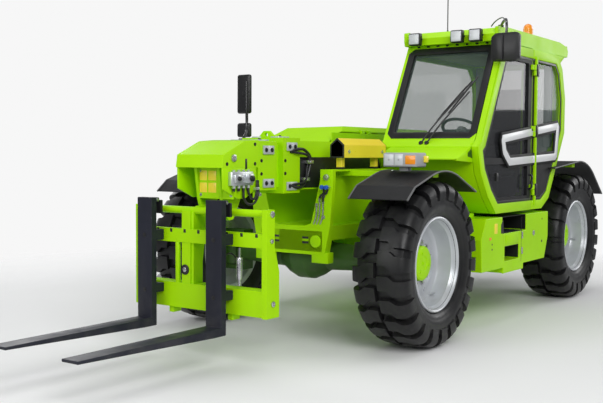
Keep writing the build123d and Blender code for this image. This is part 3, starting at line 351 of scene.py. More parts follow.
def addRod(bm, start, end, radius, sides=24, endRadius=None, edge=0.0):
    start, end = Vector(start), Vector(end)
    way = end - start
    turn = way.to_track_quat("Z", "Y").to_matrix().to_4x4()
    made = bmesh.ops.create_cone(bm, cap_ends=True, cap_tris=False, segments=sides, radius1=radius,
                                 radius2=radius if endRadius is None else endRadius, depth=way.length,
                                 matrix=Matrix.Translation((start + end) / 2) @ turn)["verts"]
    if edge:
        rims = [e for e in {e for v in made for e in v.link_edges} if len(e.link_faces) == 2
                and any(len(f.verts) > 4 for f in e.link_faces)]
        roundEdges(bm, rims, edge)


def addPlate(bm, outline, axis, low, high, edge=0.0):
    # an outline of two coordinates, extruded along the third axis
    order = {"x": lambda a, b, c: (c, a, b), "y": lambda a, b, c: (a, c, b)}[axis]
    face = bm.faces.new([bm.verts.new(order(a, b, low)) for a, b in outline])
    made = list(face.verts) + thicken(bm, [face], order(0, 0, high - low))
    bmesh.ops.recalc_face_normals(bm, faces=list({f for v in made for f in v.link_faces}))
    if edge:
        roundEdges(bm, list({e for v in made for e in v.link_edges}), edge)


def addSpun(bm, section, centre, axis, steps=48, closed=True):
    # a section of (distance along the axis, radius), spun about the axis
    axis = Vector(axis).normalized()
    out = axis.orthogonal().normalized()
    verts = [bm.verts.new(Vector(centre) + axis * a + out * r) for a, r in section]
    edges = [bm.edges.new((verts[i], verts[i + 1])) for i in range(len(verts) - 1)]
    if closed:
        edges.append(bm.edges.new((verts[-1], verts[0])))
    bmesh.ops.spin(bm, geom=verts + edges, cent=centre, axis=axis, dvec=(0, 0, 0), angle=2 * math.pi,
                   steps=steps, use_merge=True, use_duplicate=False)
    bmesh.ops.remove_doubles(bm, verts=bm.verts, dist=0.00002)


def addBolt(bm, centre, way, radius=0.012, height=0.01):
    centre, way = Vector(centre), Vector(way).normalized()
    addRod(bm, centre, centre + way * height * 0.3, radius * 1.55, 16)
    addRod(bm, centre + way * height * 0.3, centre + way * height, radius, 6, radius * 0.94)


def addTube(bm, points, radius, smooth=True):
    # a hose or a bent tube along a curve through the points
    curve = bpy.data.curves.new("run", "CURVE")
    curve.dimensions = "3D"
    curve.bevel_depth = radius
    curve.bevel_resolution = 3
    curve.use_fill_caps = True
    curve.resolution_u = 6
    if smooth:
        spline = curve.splines.new("BEZIER")
        spline.bezier_points.add(len(points) - 1)
        for spot, place in zip(spline.bezier_points, points):
            spot.co = place
            spot.handle_left_type = spot.handle_right_type = "AUTO"
    else:
        spline = curve.splines.new("POLY")
        spline.points.add(len(points) - 1)
        for spot, place in zip(spline.points, points):
            spot.co = (*place, 1)
    holder = bpy.data.objects.new("run", curve)
    bpy.context.scene.collection.objects.link(holder)
    mesh = bpy.data.meshes.new_from_object(holder.evaluated_get(bpy.context.evaluated_depsgraph_get()))
    bm.from_mesh(mesh)
    bpy.data.objects.remove(holder)
    bpy.data.curves.remove(curve)
    bpy.data.meshes.remove(mesh)


def finishPiece(name, bm, body, material, replaced=(), smooth=35, recalc=True):
    bmesh.ops.remove_doubles(bm, verts=bm.verts, dist=0.00001)
    if recalc:
        bmesh.ops.recalc_face_normals(bm, faces=bm.faces)
    mesh = bpy.data.meshes.new(name)
    bm.to_mesh(mesh)
    bm.free()
    mesh.materials.append(material)
    mesh.polygons.foreach_set("use_smooth", [True] * len(mesh.polygons))
    mesh.set_sharp_from_angle(angle=math.radians(smooth))
    piece = bpy.data.objects.new(name, mesh)
    bpy.context.scene.collection.objects.link(piece)
    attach(piece, body)
    if replaced:
        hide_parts(*replaced)
    return piece


def finishAll(name, body, parts):
    # several materials of one sub-part: {suffix: (bmesh, material, then the node that it replaces)}
    for suffix, (bm, material, *replaced) in parts.items():
        finishPiece(f"{name}_{suffix}", bm, body, material, replaced)


def softenNode(node, material, width):
    # a merged copy of a CAD node with its edges rounded
    bm = bmesh.new()
    bm.from_mesh(nodes[node].data)
    bmesh.ops.remove_doubles(bm, verts=bm.verts, dist=0.00005)
    bmesh.ops.dissolve_limit(bm, angle_limit=math.radians(1.0), use_dissolve_boundaries=False,
                             verts=bm.verts, edges=bm.edges)
    piece = finishPiece(node + "_shell", bm, nodes[node]["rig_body"], material, [node], recalc=False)
    rounding = piece.modifiers.new("rounding", "BEVEL")
    rounding.width = width
    rounding.segments = 2
    rounding.limit_method = "ANGLE"
    rounding.angle_limit = math.radians(32)
    rounding.harden_normals = True


# camera, light and floor
cameraLook = {"place": (6.3107, 3.9937, 1.3614), "forward": (-0.81678, -0.57458, -0.05222), "roll": 0.0054,
              "lens": 55.0}


def makeCamera(look):
    forward = Vector(look["forward"]).normalized()
    right = forward.cross(Vector((0, 0, 1))).normalized()
    up = right.cross(forward)
    turnedRight = right * math.cos(look["roll"]) + up * math.sin(look["roll"])
    turnedUp = up * math.cos(look["roll"]) - right * math.sin(look["roll"])
    camera = bpy.data.objects.new("photoCamera", bpy.data.cameras.new("photoCamera"))
    camera.data.lens = look["lens"]
    camera.data.sensor_width = 36.0
    camera.data.clip_end = 100.0
    matrix = Matrix((turnedRight, turnedUp, -forward)).transposed().to_4x4()
    matrix.translation = Vector(look["place"])
    camera.matrix_world = matrix
    bpy.context.scene.collection.objects.link(camera)
    bpy.context.scene.camera = camera


lights = [
    {"name": "keySoftbox", "place": (5.5, 6.5, 5.5), "target": (-0.6, 0.4, 1.0), "size": 5.0, "power": 520},
    {"name": "frontSoftbox", "place": (8.5, -1.5, 3.6), "target": (-0.2, 0.0, 1.0), "size": 4.0,
     "power": 190},
    {"name": "topSoftbox", "place": (-0.6, 0.0, 8.0), "target": (-0.6, 0.0, 0.0), "size": 6.0,
     "power": 190},
    {"name": "backSoftbox", "place": (-7.5, 4.5, 4.0), "target": (-1.0, 0.0, 1.2), "size": 4.0,
     "power": 190},
    {"name": "farSoftbox", "place": (-2.0, -7.5, 4.0), "target": (-1.0, 0.0, 1.0), "size": 4.5,
     "power": 200},
]


def makeLights():
    for look in lights:
        lamp = bpy.data.lights.new(look["name"], "AREA")
        lamp.shape = "SQUARE"
        lamp.size = look["size"]
        lamp.energy = look["power"]
        holder = bpy.data.objects.new(look["name"], lamp)
        holder.location = look["place"]
        way = Vector(look["target"]) - Vector(look["place"])
        holder.rotation_euler = way.to_track_quat("-Z", "Y").to_euler()
        bpy.context.scene.collection.objects.link(holder)


def makeWorld():
    world = bpy.data.worlds.new("studio")
    bpy.context.scene.world = world
    world.use_nodes = True
    tree = world.node_tree
    backdrop = tree.nodes["Background"]
    backdrop.inputs["Color"].default_value = (0.8, 0.82, 0.85, 1)
    backdrop.inputs["Strength"].default_value = 0.3
    seen = tree.nodes.new("ShaderNodeBackground")
    seen.inputs["Color"].default_value = (0.93, 0.93, 0.93, 1)
    seen.inputs["Strength"].default_value = 1.0
    path = tree.nodes.new("ShaderNodeLightPath")
    either = tree.nodes.new("ShaderNodeMath")
    either.operation = "MAXIMUM"
    mix = tree.nodes.new("ShaderNodeMixShader")
    tree.links.new(path.outputs["Is Camera Ray"], either.inputs[0])
    tree.links.new(path.outputs["Is Transmission Ray"], either.inputs[1])
    tree.links.new(either.outputs["Value"], mix.inputs["Fac"])
    tree.links.new(backdrop.outputs["Background"], mix.inputs[1])
    tree.links.new(seen.outputs["Background"], mix.inputs[2])
    tree.links.new(mix.outputs["Shader"], tree.nodes["World Output"].inputs["Surface"])


def makeFloor():
    bm = bmesh.new()
    bmesh.ops.create_grid(bm, x_segments=2, y_segments=2, size=30.0)
    mesh = bpy.data.meshes.new("studioFloor")
    bm.to_mesh(mesh)
    bm.free()
    floor = bpy.data.objects.new("studioFloor", mesh)
    bpy.context.scene.collection.objects.link(floor)
    material, tree, shader = newMaterial("studioFloor", 0.7)
    tone = noiseOn(tree, 0.8, 3.0)
    tree.links.new(blendColours(tree, tone, (0.78, 0.78, 0.78), (0.82, 0.82, 0.82)),
                   shader.inputs["Base Color"])
    coords = tree.nodes.new("ShaderNodeTexCoord")
    reach = tree.nodes.new("ShaderNodeVectorMath")      # the floor fades into the backdrop
    reach.operation = "LENGTH"
    tree.links.new(coords.outputs["Object"], reach.inputs[0])
    tree.links.new(rangeOf(tree, reach.outputs["Value"], 3.6, 6.5, 1.0, 0.0), shader.inputs["Alpha"])
    mesh.materials.append(material)


makeCamera(cameraLook)
makeLights()
makeWorld()
makeFloor()
print("camera, lights and floor ready")


# wheels
tyreLook = {"radius": 0.59, "lugHeight": 0.036, "lugs": 22, "halfCrown": 0.15, "crownDrop": 0.012,
            "crownLean": math.radians(6), "wallLean": math.radians(84), "shoulderRadius": 0.04,
            "lugOutline": [(0.0, 0.262), (0.112, 0.262), (0.118, 0.128), (0.15, 0.088), (0.15, 0.008),
                           (0.042, 0.008), (0.042, 0.068), (0.0, 0.112)]}
rimLook = {"nuts": 12, "nutCircle": 0.152, "hubRadius": 0.125, "hubFace": 0.055,
           "stemAngle": math.radians(255), "section": [(0.15, 0.3365), (0.158, 0.3375), (0.165, 0.334),
                                                       (0.168, 0.327), (0.164, 0.32), (0.152, 0.314),
                                                       (0.128, 0.304), (0.12, 0.2985), (0.06, 0.2955),
                                                       (0.03, 0.292), (0.016, 0.286), (0.006, 0.272),
                                                       (0.002, 0.25), (0.006, 0.225), (0.012, 0.205),
                                                       (0.0148, 0.19), (0.0148, 0.128), (-0.001, 0.128),
                                                       (-0.001, 0.19), (-0.014, 0.24), (-0.018, 0.286),
                                                       (-0.03, 0.293), (-0.15, 0.3), (-0.164, 0.32),
                                                       (-0.168, 0.328), (-0.158, 0.337), (-0.15, 0.336),
                                                       (-0.146, 0.308), (0.14, 0.308)]}


def treadPoint(along, across, height, look):
    # a point of the flat tread pattern, laid onto the tyre: across runs over the shoulder and down the side
    base = look["radius"] - look["lugHeight"]
    crown, shoulder, crownLean = look["halfCrown"], look["shoulderRadius"], look["crownLean"]
    arc = shoulder * (look["wallLean"] - crownLean)
    if across <= crown:
        y, r = across, base - look["crownDrop"] * (across / crown) ** 2
        lean = crownLean * across / crown
    else:
        rest = max(0.0, across - crown - arc)
        lean = look["wallLean"] if rest else crownLean + (across - crown) / shoulder
        y = crown + shoulder * (math.sin(lean) - math.sin(crownLean)) + rest * math.cos(lean)
        r = base - look["crownDrop"] - shoulder * (math.cos(crownLean) - math.cos(lean))
        r -= rest * math.sin(lean)
    fade = 1.0 if across < crown else max(0.45, 1.0 - (across - crown) / 0.2)
    y += height * fade * math.sin(lean)
    r += height * fade * math.cos(lean)
    turn = along / look["radius"]
    return Vector((r * math.cos(turn), y, r * math.sin(turn)))


def addLugs(bm, look, side, shift):
    lug = bmesh.new()
    face = lug.faces.new([lug.verts.new((a, b, 0.0)) for a, b in look["lugOutline"]])
    top = thicken(lug, [face], (0, 0, 1.0))
    centre = Vector((0.075, 0.13, 0))
    for v in top:
        v.co.x = centre.x + (v.co.x - centre.x) * 0.92
        v.co.y = centre.y + (v.co.y - centre.y) * 0.97
    bmesh.ops.recalc_face_normals(lug, faces=lug.faces)
    roundEdges(lug, [e for e in lug.edges if all(v in top for v in e.verts)], 0.004, 1)
    acrossCuts = [(0, cut, 0) for cut in (0.06, 0.11, 0.15, 0.16, 0.17, 0.18, 0.19, 0.205, 0.23)]
    alongCuts = [(cut, 0, 0) for cut in (0.03, 0.06, 0.09, 0.12)]
    for place in acrossCuts + alongCuts:       # more points, so that the lug can follow the tyre's curve
        bmesh.ops.bisect_plane(lug, geom=lug.verts[:] + lug.edges[:] + lug.faces[:], plane_co=place,
                               plane_no=Vector(place).normalized(), dist=0.0001)
    pitch = 2 * math.pi * look["radius"] / look["lugs"]
    for v in lug.verts:
        v.co = treadPoint(v.co.x + shift * pitch, v.co.y, (v.co.z - 0.22) * look["lugHeight"] / 0.78, look)
        v.co.y *= side
    if side < 0:
        bmesh.ops.reverse_faces(lug, faces=lug.faces)
    bmesh.ops.spin(lug, geom=lug.verts[:] + lug.edges[:] + lug.faces[:], cent=(0, 0, 0), axis=(0, 1, 0),
                   dvec=(0, 0, 0), angle=2 * math.pi * (look["lugs"] - 1) / look["lugs"],
                   steps=look["lugs"] - 1, use_merge=False, use_duplicate=True)
    mesh = bpy.data.meshes.new("lugs")
    lug.to_mesh(mesh)
    lug.free()
    bm.from_mesh(mesh)
    bpy.data.meshes.remove(mesh)


def addCarcass(bm, look):
    base = look["radius"] - look["lugHeight"]
    half = [(0.0, base), (0.06, base - 0.002), (0.11, base - 0.007), (0.15, base - 0.014),
            (0.172, base - 0.026), (0.184, base - 0.048), (0.19, 0.5), (0.1975, 0.478), (0.1985, 0.47),
            (0.1965, 0.462), (0.199, 0.44), (0.196, 0.415), (0.1885, 0.392), (0.184, 0.384), (0.182, 0.376),
            (0.176, 0.362), (0.168, 0.352), (0.16, 0.345), (0.152, 0.338), (0.15, 0.312)]
    section = half + [(-a, r) for a, r in reversed(half[1:])]
    addSpun(bm, section, (0, 0, 0), (0, 1, 0), 88)


def addRim(bm, look):
    addSpun(bm, look["section"], (0, 0, 0), (0, 1, 0), 96)
    turn = look["stemAngle"]
    way = Vector((math.cos(turn), 0, math.sin(turn)))
    for near, far, radius in (((0.286, 0.02), (0.262, 0.075), 0.006),
                              ((0.29, 0.01), (0.284, 0.026), 0.011)):
        ends = [way * spot[0] + Vector((0, spot[1], 0)) for spot in (near, far)]
        addRod(bm, *ends, radius, 12)


def addHub(bm, look):
    face = look["hubFace"]
    radius = look["hubRadius"]
    section = [(-0.06, 0.0505), (-0.06, 0.168), (-0.0025, 0.168), (-0.0025, radius - 0.001),
               (face - 0.016, radius - 0.001), (face - 0.01, radius - 0.003),
               (face - 0.003, radius - 0.012), (face, radius - 0.02), (face, 0.052), (face - 0.004, 0.048),
               (face - 0.004, 0.0), (-0.004, 0.0), (-0.004, 0.0505)]
    addSpun(bm, section, (0, 0, 0), (0, 1, 0), 64)


def addHubBolts(bm, look):
    for step in range(3):
        turn = math.radians(90 + 120 * step)
        addBolt(bm, (0.075 * math.cos(turn), look["hubFace"] - 0.001, 0.075 * math.sin(turn)), (0, 1, 0),
                0.0085, 0.007)
    addBolt(bm, (0.0, look["hubFace"] - 0.005, 0.0), (0, 1, 0), 0.012, 0.008)


def addWheelNuts(bm, look):
    for step in range(look["nuts"]):
        turn = 2 * math.pi * step / look["nuts"]
        addBolt(bm, (look["nutCircle"] * math.cos(turn), 0.0145, look["nutCircle"] * math.sin(turn)),
                (0, 1, 0), 0.0115, 0.016)


def placeAtWheel(bm, x, side, turn):
    bmesh.ops.rotate(bm, cent=(0, 0, 0), matrix=Matrix.Rotation(turn, 3, "Y"), verts=bm.verts)
    if side < 0:
        bmesh.ops.scale(bm, vec=(1, -1, 1), verts=bm.verts)
        bmesh.ops.reverse_faces(bm, faces=bm.faces)
    bmesh.ops.translate(bm, vec=(x, side * wheelY, axleZ), verts=bm.verts)


def makeWheel(end, x, sideName, side, turn):
    body = f"wheel_{end}_{sideName}"
    bm = bmesh.new()
    addCarcass(bm, tyreLook)
    bmesh.ops.recalc_face_normals(bm, faces=bm.faces)
    addLugs(bm, tyreLook, 1, 0.0)
    addLugs(bm, tyreLook, -1, 0.5)
    placeAtWheel(bm, x, side, turn)
    finishPiece(f"treaded_tyre_{end}_{sideName}", bm, body, rubber, [f"tyre_{end}_{sideName}"], 30, False)
    for name, add, material, replaced in (
            ("dished_rim", addRim, silver, ["rim"]), ("hub_drum", addHub, lime, ["hub"]),
            ("wheel_nuts", addWheelNuts, bright, []), ("hub_bolts", addHubBolts, lime, [])):
        bm = bmesh.new()
        add(bm, rimLook)
        bmesh.ops.recalc_face_normals(bm, faces=bm.faces)
        placeAtWheel(bm, x, side, turn)
        finishPiece(f"{name}_{end}_{sideName}", bm, body, material,
                    [f"{r}_{end}_{sideName}" for r in replaced], 30, False)


for end, x, turn in (("front", frontX, 0.3), ("rear", rearX, 1.1)):
    for sideName, side in (("left", 1), ("right", -1)):
        makeWheel(end, x, sideName, side, turn)
print("wheels ready")


# carried-over nodes: paint for each, with rounded copies where edges catch the light
shellLooks = {
    "chassis_frame": (lime, 0.004), "front_bulkhead": (lime, 0.004),
    "boom_outer": (lime, 0.008), "boom_mid": (lime, 0.005),
    "boom_inner": (lime, 0.006), "carriage": (lime, 0.004),
    "forks": (slate, 0.005), "front_fenders": (charcoal, 0.003),
    "rear_fenders": (charcoal, 0.003), "cab_frame": (lime, 0.01),
    "cab_roof": (lime, 0.014), "cab_door": (lime, 0.008),
    "side_box": (lime, 0.012), "engine_bay": (lime, 0.006),
    "engine_bonnet": (lime, 0.01), "safety_strut": (yellow, 0.004),
    "rear_bumper": (slate, 0.006), "engine_block": (cast, 0.012),
}
for node, (material, width) in shellLooks.items():
    softenNode(node, material, width)

nodePaint = {
    "front_axle": deepGreenAndSunkenShade, "rear_axle": deepGreenAndSunkenShade, "lift_barrel": glossBlack, "lift_rod": chrome,
    "front_steer_rod": chrome, "rear_steer_rod": chrome, "cab_windows": screenGlass,
    "door_glass": doorGlass, "seat": cloth,
}
for end in ("front", "rear"):
    for sideName in ("left", "right"):
        nodePaint[f"knuckle_{end}_{sideName}"] = deepGreenAndSunkenShade
for node, material in nodePaint.items():
    nodes[node].data.materials.clear()
    nodes[node].data.materials.append(material)
print("CAD nodes painted")


# head: cheeks, pin bosses, slots, the cover's blank labels and the valve block
headLook = {
    "halfWidth": 0.2, "boss": (1.688, 1.328), "slot": (1.554, 1.29),
    "cheek": [(1.446, 1.3), (1.446, 1.12), (1.56, 1.062), (1.64, 1.062), (1.786, 1.125), (1.79, 1.3)],
}


def makeHead(look):
    half = look["halfWidth"]
    limeMesh, brightMesh, blackMesh, labelMesh = newMeshes(4)
    for side in (1, -1):
        addPlate(limeMesh, look["cheek"], "y", *span(side, half - 0.016, half - 0.001), edge=0.003)
        x, z = look["boss"]
        addRod(brightMesh, (x, side * half, z), (x, side * (half + 0.012), z), 0.024, 32, edge=0.002)
        addBolt(brightMesh, (x, side * (half + 0.012), z), (0, side, 0), 0.01, 0.007)
        x, z = look["slot"]
        addBox(blackMesh, (x - 0.01, x + 0.01), (side * (half - 0.001), side * (half + 0.0015)),
               (z - 0.034, z + 0.034), 0.0009)
        for x, z in ((1.46, 1.42), (1.46, 1.29), (1.75, 1.29)):
            addBolt(blackMesh, (x, side * half, z), (0, side, 0), 0.008, 0.006)
    for y in (-0.055, 0.025):      # blank plates on the front cover
        for z in ((1.1, 1.165), (1.18, 1.245)):
            addBox(labelMesh, (1.6895, 1.692), (y - 0.034, y + 0.034), z, 0.0008)
    for y in (-0.075, 0.185):
        for z in (1.085, 1.24):
            addBolt(brightMesh, (1.69, y, z), (1, 0, 0), 0.007, 0.005)
    finishAll("head", "boom_nose", {"cheeks": (limeMesh, lime), "pins": (brightMesh, bright),
                                    "slots": (blackMesh, black), "labels": (labelMesh, yellow)})


valveLook = {"x": (1.523, 1.74), "y": (0.2, 0.236), "z": (1.15, 1.24),
             "ports": (1.555, 1.605, 1.655, 1.705)}


def makeValveBlock(look):
    blockMesh, fittingMesh, hoseMesh = newMeshes(3)
    y = look["y"]
    addBox(blockMesh, look["x"], y, look["z"], 0.003)
    addBox(blockMesh, (1.54, 1.6), (y[1] - 0.002, y[1] + 0.022), (1.165, 1.225), 0.003)
    addBox(blockMesh, (1.66, 1.725), (y[1] - 0.002, y[1] + 0.016), (1.17, 1.222), 0.003)
    for x in look["ports"]:
        middle = (y[0] + y[1]) / 2
        addRod(blockMesh, (x, middle, 1.152), (x, middle, 1.132), 0.013, 6)
        addRod(fittingMesh, (x, middle, 1.134), (x, middle, 1.112), 0.01, 20)
        addRod(blockMesh, (x, middle, 1.238), (x, middle, 1.252), 0.011, 6)
    addRod(fittingMesh, (1.57, y[1] + 0.02, 1.195), (1.57, y[1] + 0.04, 1.195), 0.019, 28, edge=0.002)
    addRod(fittingMesh, (1.692, y[1] + 0.014, 1.196), (1.692, y[1] + 0.03, 1.196), 0.014, 28, edge=0.002)
    middle = (y[0] + y[1]) / 2
    for first, last, drop in ((1.555, 1.46, 1.08), (1.605, 1.45, 1.045)):
        addTube(hoseMesh, [(first, middle, 1.114), (first - 0.006, middle + 0.004, drop + 0.01),
                           ((first + last) / 2, middle + 0.008, drop - 0.022),
                           (last, middle - 0.002, drop + 0.03),
                           (last - 0.014, middle - 0.012, 1.18)], 0.0085)
    addBox(blockMesh, (1.446, 1.476), (0.198, 0.23), (1.116, 1.134), 0.003)      # the hoses' clip
    finishAll("valve", "boom_nose", {"block": (blockMesh, alloy), "caps": (fittingMesh, black),
                                     "hoses": (hoseMesh, hose)})


# collars: wear pads held by bolt pairs, hose loops and the dark panel on the boom's side
collarLooks = {
    "front_collar": {"body": "boom_section", "x": (1.205, 1.325), "half": 0.16, "low": 1.105, "top": 1.445,
                     "rise": 0.012},
    "rear_collar": {"body": "boom", "x": (0.965, 1.085), "half": 0.185, "low": 1.08, "top": 1.47,
                    "rise": 0.012},
}


def makeCollarPads(name, look):
    plateMesh, boltMesh = newMeshes(2)
    x = look["x"]
    middle = (x[0] + x[1]) / 2
    for side in (1, -1):
        y, rise = side * look["half"], look["rise"]
        for z in (look["top"] - 0.062, look["low"] + 0.05):
            addBox(plateMesh, x, span(side, look["half"] - 0.001, look["half"] + rise),
                   (z - 0.03, z + 0.03), 0.004)
            for step in (-0.032, 0.032):
                addBolt(boltMesh, (middle + step, y + side * rise, z), (0, side, 0), 0.01, 0.009)
        for z in (1.22, 1.31):
            addBolt(boltMesh, (x[1] + 0.012, y, z), (0, side, 0), 0.008, 0.007)
        addBox(plateMesh, x, span(side, 0.045, 0.125), (look["top"] - 0.001, look["top"] + 0.01), 0.003)
        addBolt(boltMesh, (middle, side * 0.085, look["top"] + 0.01), (0, 0, 1), 0.01, 0.009)
    finishAll(name, look["body"], {"pads": (plateMesh, silver), "bolts": (boltMesh, black)})


def makeBoomSide():
    panelMesh, hoseMesh, clipMesh, limeMesh = newMeshes(4)
    for side in (1, -1):
        addPlate(panelMesh, [(-0.3, 1.112), (0.912, 1.112), (0.912, 1.334), (-0.22, 1.334)], "y",
                 *span(side, 0.164, 0.1675), edge=0.0008)
    for shift, radius in ((0.0, 0.011), (0.028, 0.009)):      # loops clipped to the boom's left side
        addTube(hoseMesh, [(1.045, 0.188, 1.372), (0.96, 0.204, 1.392 - shift),
                           (0.85, 0.196 + shift / 2, 1.372 - shift), (0.788 + shift, 0.186, 1.318),
                           (0.806 + shift, 0.186, 1.24), (0.878, 0.19 + shift / 2, 1.14 + shift),
                           (0.96, 0.204, 1.118 + shift), (1.045, 0.188, 1.136)], radius)
    for x, z in ((0.8, 1.3), (0.845, 1.175)):
        addBox(clipMesh, (x - 0.03, x + 0.04), (0.165, 0.206), (z - 0.013, z + 0.013), 0.005)
        addBolt(clipMesh, (x + 0.005, 0.206, z), (0, 1, 0), 0.008, 0.006)
    for x in (-0.9, -1.6):
        for y in ((0.16, 0.172), (-0.172, -0.16)):
            addBox(limeMesh, (x - 0.05, x + 0.05), y, (1.12, 1.43), 0.004)
    finishAll("boom_side", "boom", {"panels": (panelMesh, black), "hoses": (hoseMesh, hose),
                                    "clips": (clipMesh, bright), "straps": (limeMesh, lime)})


# carriage: grease heads, the lock cylinder, the forks' latches, ribs and the notched mid bar
carriageLook = {"front": 1.805, "half": 0.565, "forks": (0.23, -0.37)}


def makeCarriageParts(look):
    brightMesh, blackMesh, limeMesh, chromeMesh = newMeshes(4)
    front = look["front"]
    for side in (1, -1):
        y = side * look["half"]
        for x, z, r in ((1.755, 0.982, 0.02), (1.76, 0.815, 0.014), (1.745, 0.42, 0.018)):
            addRod(brightMesh, (x, y, z), (x, y + side * 0.01, z), r, 28, edge=0.002)
            addBolt(brightMesh, (x, y + side * 0.01, z), (0, side, 0), r * 0.45, 0.005)
        for edge in (0.1, 0.3, 0.5):
            addBox(limeMesh, (front - 0.105, front - 0.055), (side * edge, side * (edge + 0.022)),
                   (0.365, 0.466), 0.003)
        addBox(limeMesh, (front - 0.1, front - 0.02), (side * 0.235, side * 0.275), (0.292, 0.336), 0.005)
        addBox(limeMesh, (front - 0.028, front - 0.006), (side * 0.175, side * 0.205), (0.498, 0.775),
               0.004)
    addRod(brightMesh, (1.782, 0.33, 0.56), (1.782, 0.33, 0.7), 0.021, 32, edge=0.003)
    addRod(chromeMesh, (1.782, 0.33, 0.7), (1.782, 0.33, 0.762), 0.01, 24)
    addRod(brightMesh, (1.782, 0.33, 0.52), (1.782, 0.33, 0.56), 0.013, 24)
    addRod(blackMesh, (1.793, -0.12, 0.59), (1.802, -0.12, 0.59), 0.034, 36, edge=0.002)
    addRod(brightMesh, (1.798, -0.12, 0.59), (1.804, -0.12, 0.59), 0.016, 24, edge=0.001)
    addTube(blackMesh, [(1.78, 0.312, 0.69), (1.774, 0.25, 0.72), (1.772, 0.19, 0.69), (1.776, 0.165, 0.62),
                        (1.782, 0.16, 0.545)], 0.006)
    for y in look["forks"]:
        addBox(blackMesh, (1.812, 1.868), (y - 0.035, y + 0.035), (1.03, 1.062), 0.006)
        addBox(blackMesh, (1.8, 1.822), (y - 0.055, y + 0.055), (0.955, 1.045), 0.004)
        addRod(brightMesh, (1.842, y - 0.05, 1.046), (1.842, y + 0.05, 1.046), 0.009, 20)
        for z in (0.815, 0.45):
            addBolt(blackMesh, (1.92, y, z), (1, 0, 0), 0.01, 0.003)
    for step in range(9):          # the notched front of the mid bar
        y = -0.48 + 0.12 * step
        addBox(blackMesh, (front - 0.006, front - 0.004), (y - 0.01, y + 0.01), (0.835, 0.858), 0.0005)
    finishAll("carriage", "tool_carriage",
              {"grease_heads": (brightMesh, bright), "latches": (blackMesh, black),
               "ribs": (limeMesh, lime), "lock_rod": (chromeMesh, chrome)})


# bulkhead: pin bosses, couplers, pipes, the round boss and slots on the front plate
def makeBulkheadParts():
    brightMesh, blackMesh, blueMesh, greenMesh = newMeshes(4)
    for side in (1, -1):
        addRod(brightMesh, (0.768, side * 0.318, 1.19), (0.785, side * 0.318, 1.19), 0.022, 32, edge=0.002)
        for z in (1.05, 0.9):
            addBolt(brightMesh, (0.77, side * 0.29, z), (1, 0, 0), 0.01, 0.008)
        addBox(greenMesh, (0.69, 0.768), (side * 0.185, side * 0.33), (0.56, 0.64), 0.006)
        addRod(greenMesh, (0.765, side * 0.225, 0.72), (0.782, side * 0.225, 0.72), 0.045, 40, edge=0.004)
        for z in ((0.7, 0.716), (0.735, 0.751)):
            addBox(blackMesh, (0.77, 0.772), (side * 0.105, side * 0.16), z, 0.0008)
    addBox(greenMesh, (0.728, 0.77), (-0.285, 0.285), (0.64, 0.8), 0.005)
    for y, z in ((0.3, 1.118), (0.338, 1.118)):
        addRod(brightMesh, (0.768, y, z), (0.8, y, z), 0.013, 24)
        addRod(blueMesh, (0.798, y, z), (0.818, y, z), 0.016, 28, edge=0.002)
    for y, low, high in ((0.262, 0.83, 1.02), (0.236, 0.83, 0.98), (0.292, 0.83, 1.0)):
        addTube(brightMesh, [(0.742, y - 0.06, low), (0.776, y - 0.02, low + 0.03), (0.78, y, low + 0.09),
                             (0.778, y, high)], 0.006)
        addRod(brightMesh, (0.778, y, high - 0.004), (0.778, y, high + 0.018), 0.01, 6)
    addTube(blackMesh, [(0.78, 0.292, 1.012), (0.784, 0.296, 1.05), (0.783, 0.3, 1.085),
                        (0.784, 0.3, 1.105)], 0.008)
    addTube(blackMesh, [(0.778, 0.262, 1.034), (0.784, 0.28, 1.062), (0.786, 0.322, 1.072),
                        (0.786, 0.338, 1.106)], 0.008)
    finishAll("bulkhead", "root", {"pins": (brightMesh, bright), "hoses": (blackMesh, hose),
                                   "couplers": (blueMesh, couplerBlue), "front_plate": (greenMesh, lime)})


# cab: lime ring, seals, trim ring, post, windscreen seal, wipers and visor
cabLook = {
    "side": 1.05, "doorEdge": -1.283, "postEdge": -1.292,
    "outline": [(-0.18, 1.42), (-0.24, 1.215), (-0.38, 1.03), (-0.54, 0.89), (-1.53, 0.89), (-1.7, 0.975),
                (-2.08, 1.56), (-2.085, 1.88), (-2.0, 2.14), (-1.88, 2.255), (-0.67, 2.255),
                (-0.255, 1.475)],
    "hexagon": [(-0.625, 1.535), (-1.9, 1.672), (-1.95, 1.62), (-1.9, 1.33), (-1.85, 1.292), (-0.775, 1.25),
                (-0.64, 1.35), (-0.6, 1.47)],
}


def ringOn(outline, outer, inner, y, thick, keep, edge=0.002):
    # the band of an outline between two insets, cut by the planes in keep and made thick
    bm = bmesh.new()
    face = bm.faces.new([bm.verts.new((x, y, z)) for x, z in outline])
    bm.normal_update()
    if outer:
        insetFace(bm, face, outer)
        bmesh.ops.delete(bm, geom=[f for f in bm.faces if f is not face], context="FACES")
    if inner:
        insetFace(bm, face, inner - outer)
        bmesh.ops.delete(bm, geom=[face], context="FACES_ONLY")
    for axis, limit, upper in keep:
        place, normal = [0, 0, 0], [0, 0, 0]
        place["xyz".index(axis)] = limit
        normal["xyz".index(axis)] = 1
        bmesh.ops.bisect_plane(bm, geom=bm.verts[:] + bm.edges[:] + bm.faces[:], plane_co=place,
                               plane_no=normal, dist=0.00001, clear_outer=not upper, clear_inner=upper)
    loose = [v for v in bm.verts if not v.link_faces]
    bmesh.ops.delete(bm, geom=loose, context="VERTS")
    thicken(bm, bm.faces[:], (0, thick, 0))
    bmesh.ops.recalc_face_normals(bm, faces=bm.faces)
    if edge:
        roundEdges(bm, [e for e in bm.edges if len(e.link_faces) == 2 and e.calc_face_angle(0) > 0.6], edge)
    return bm


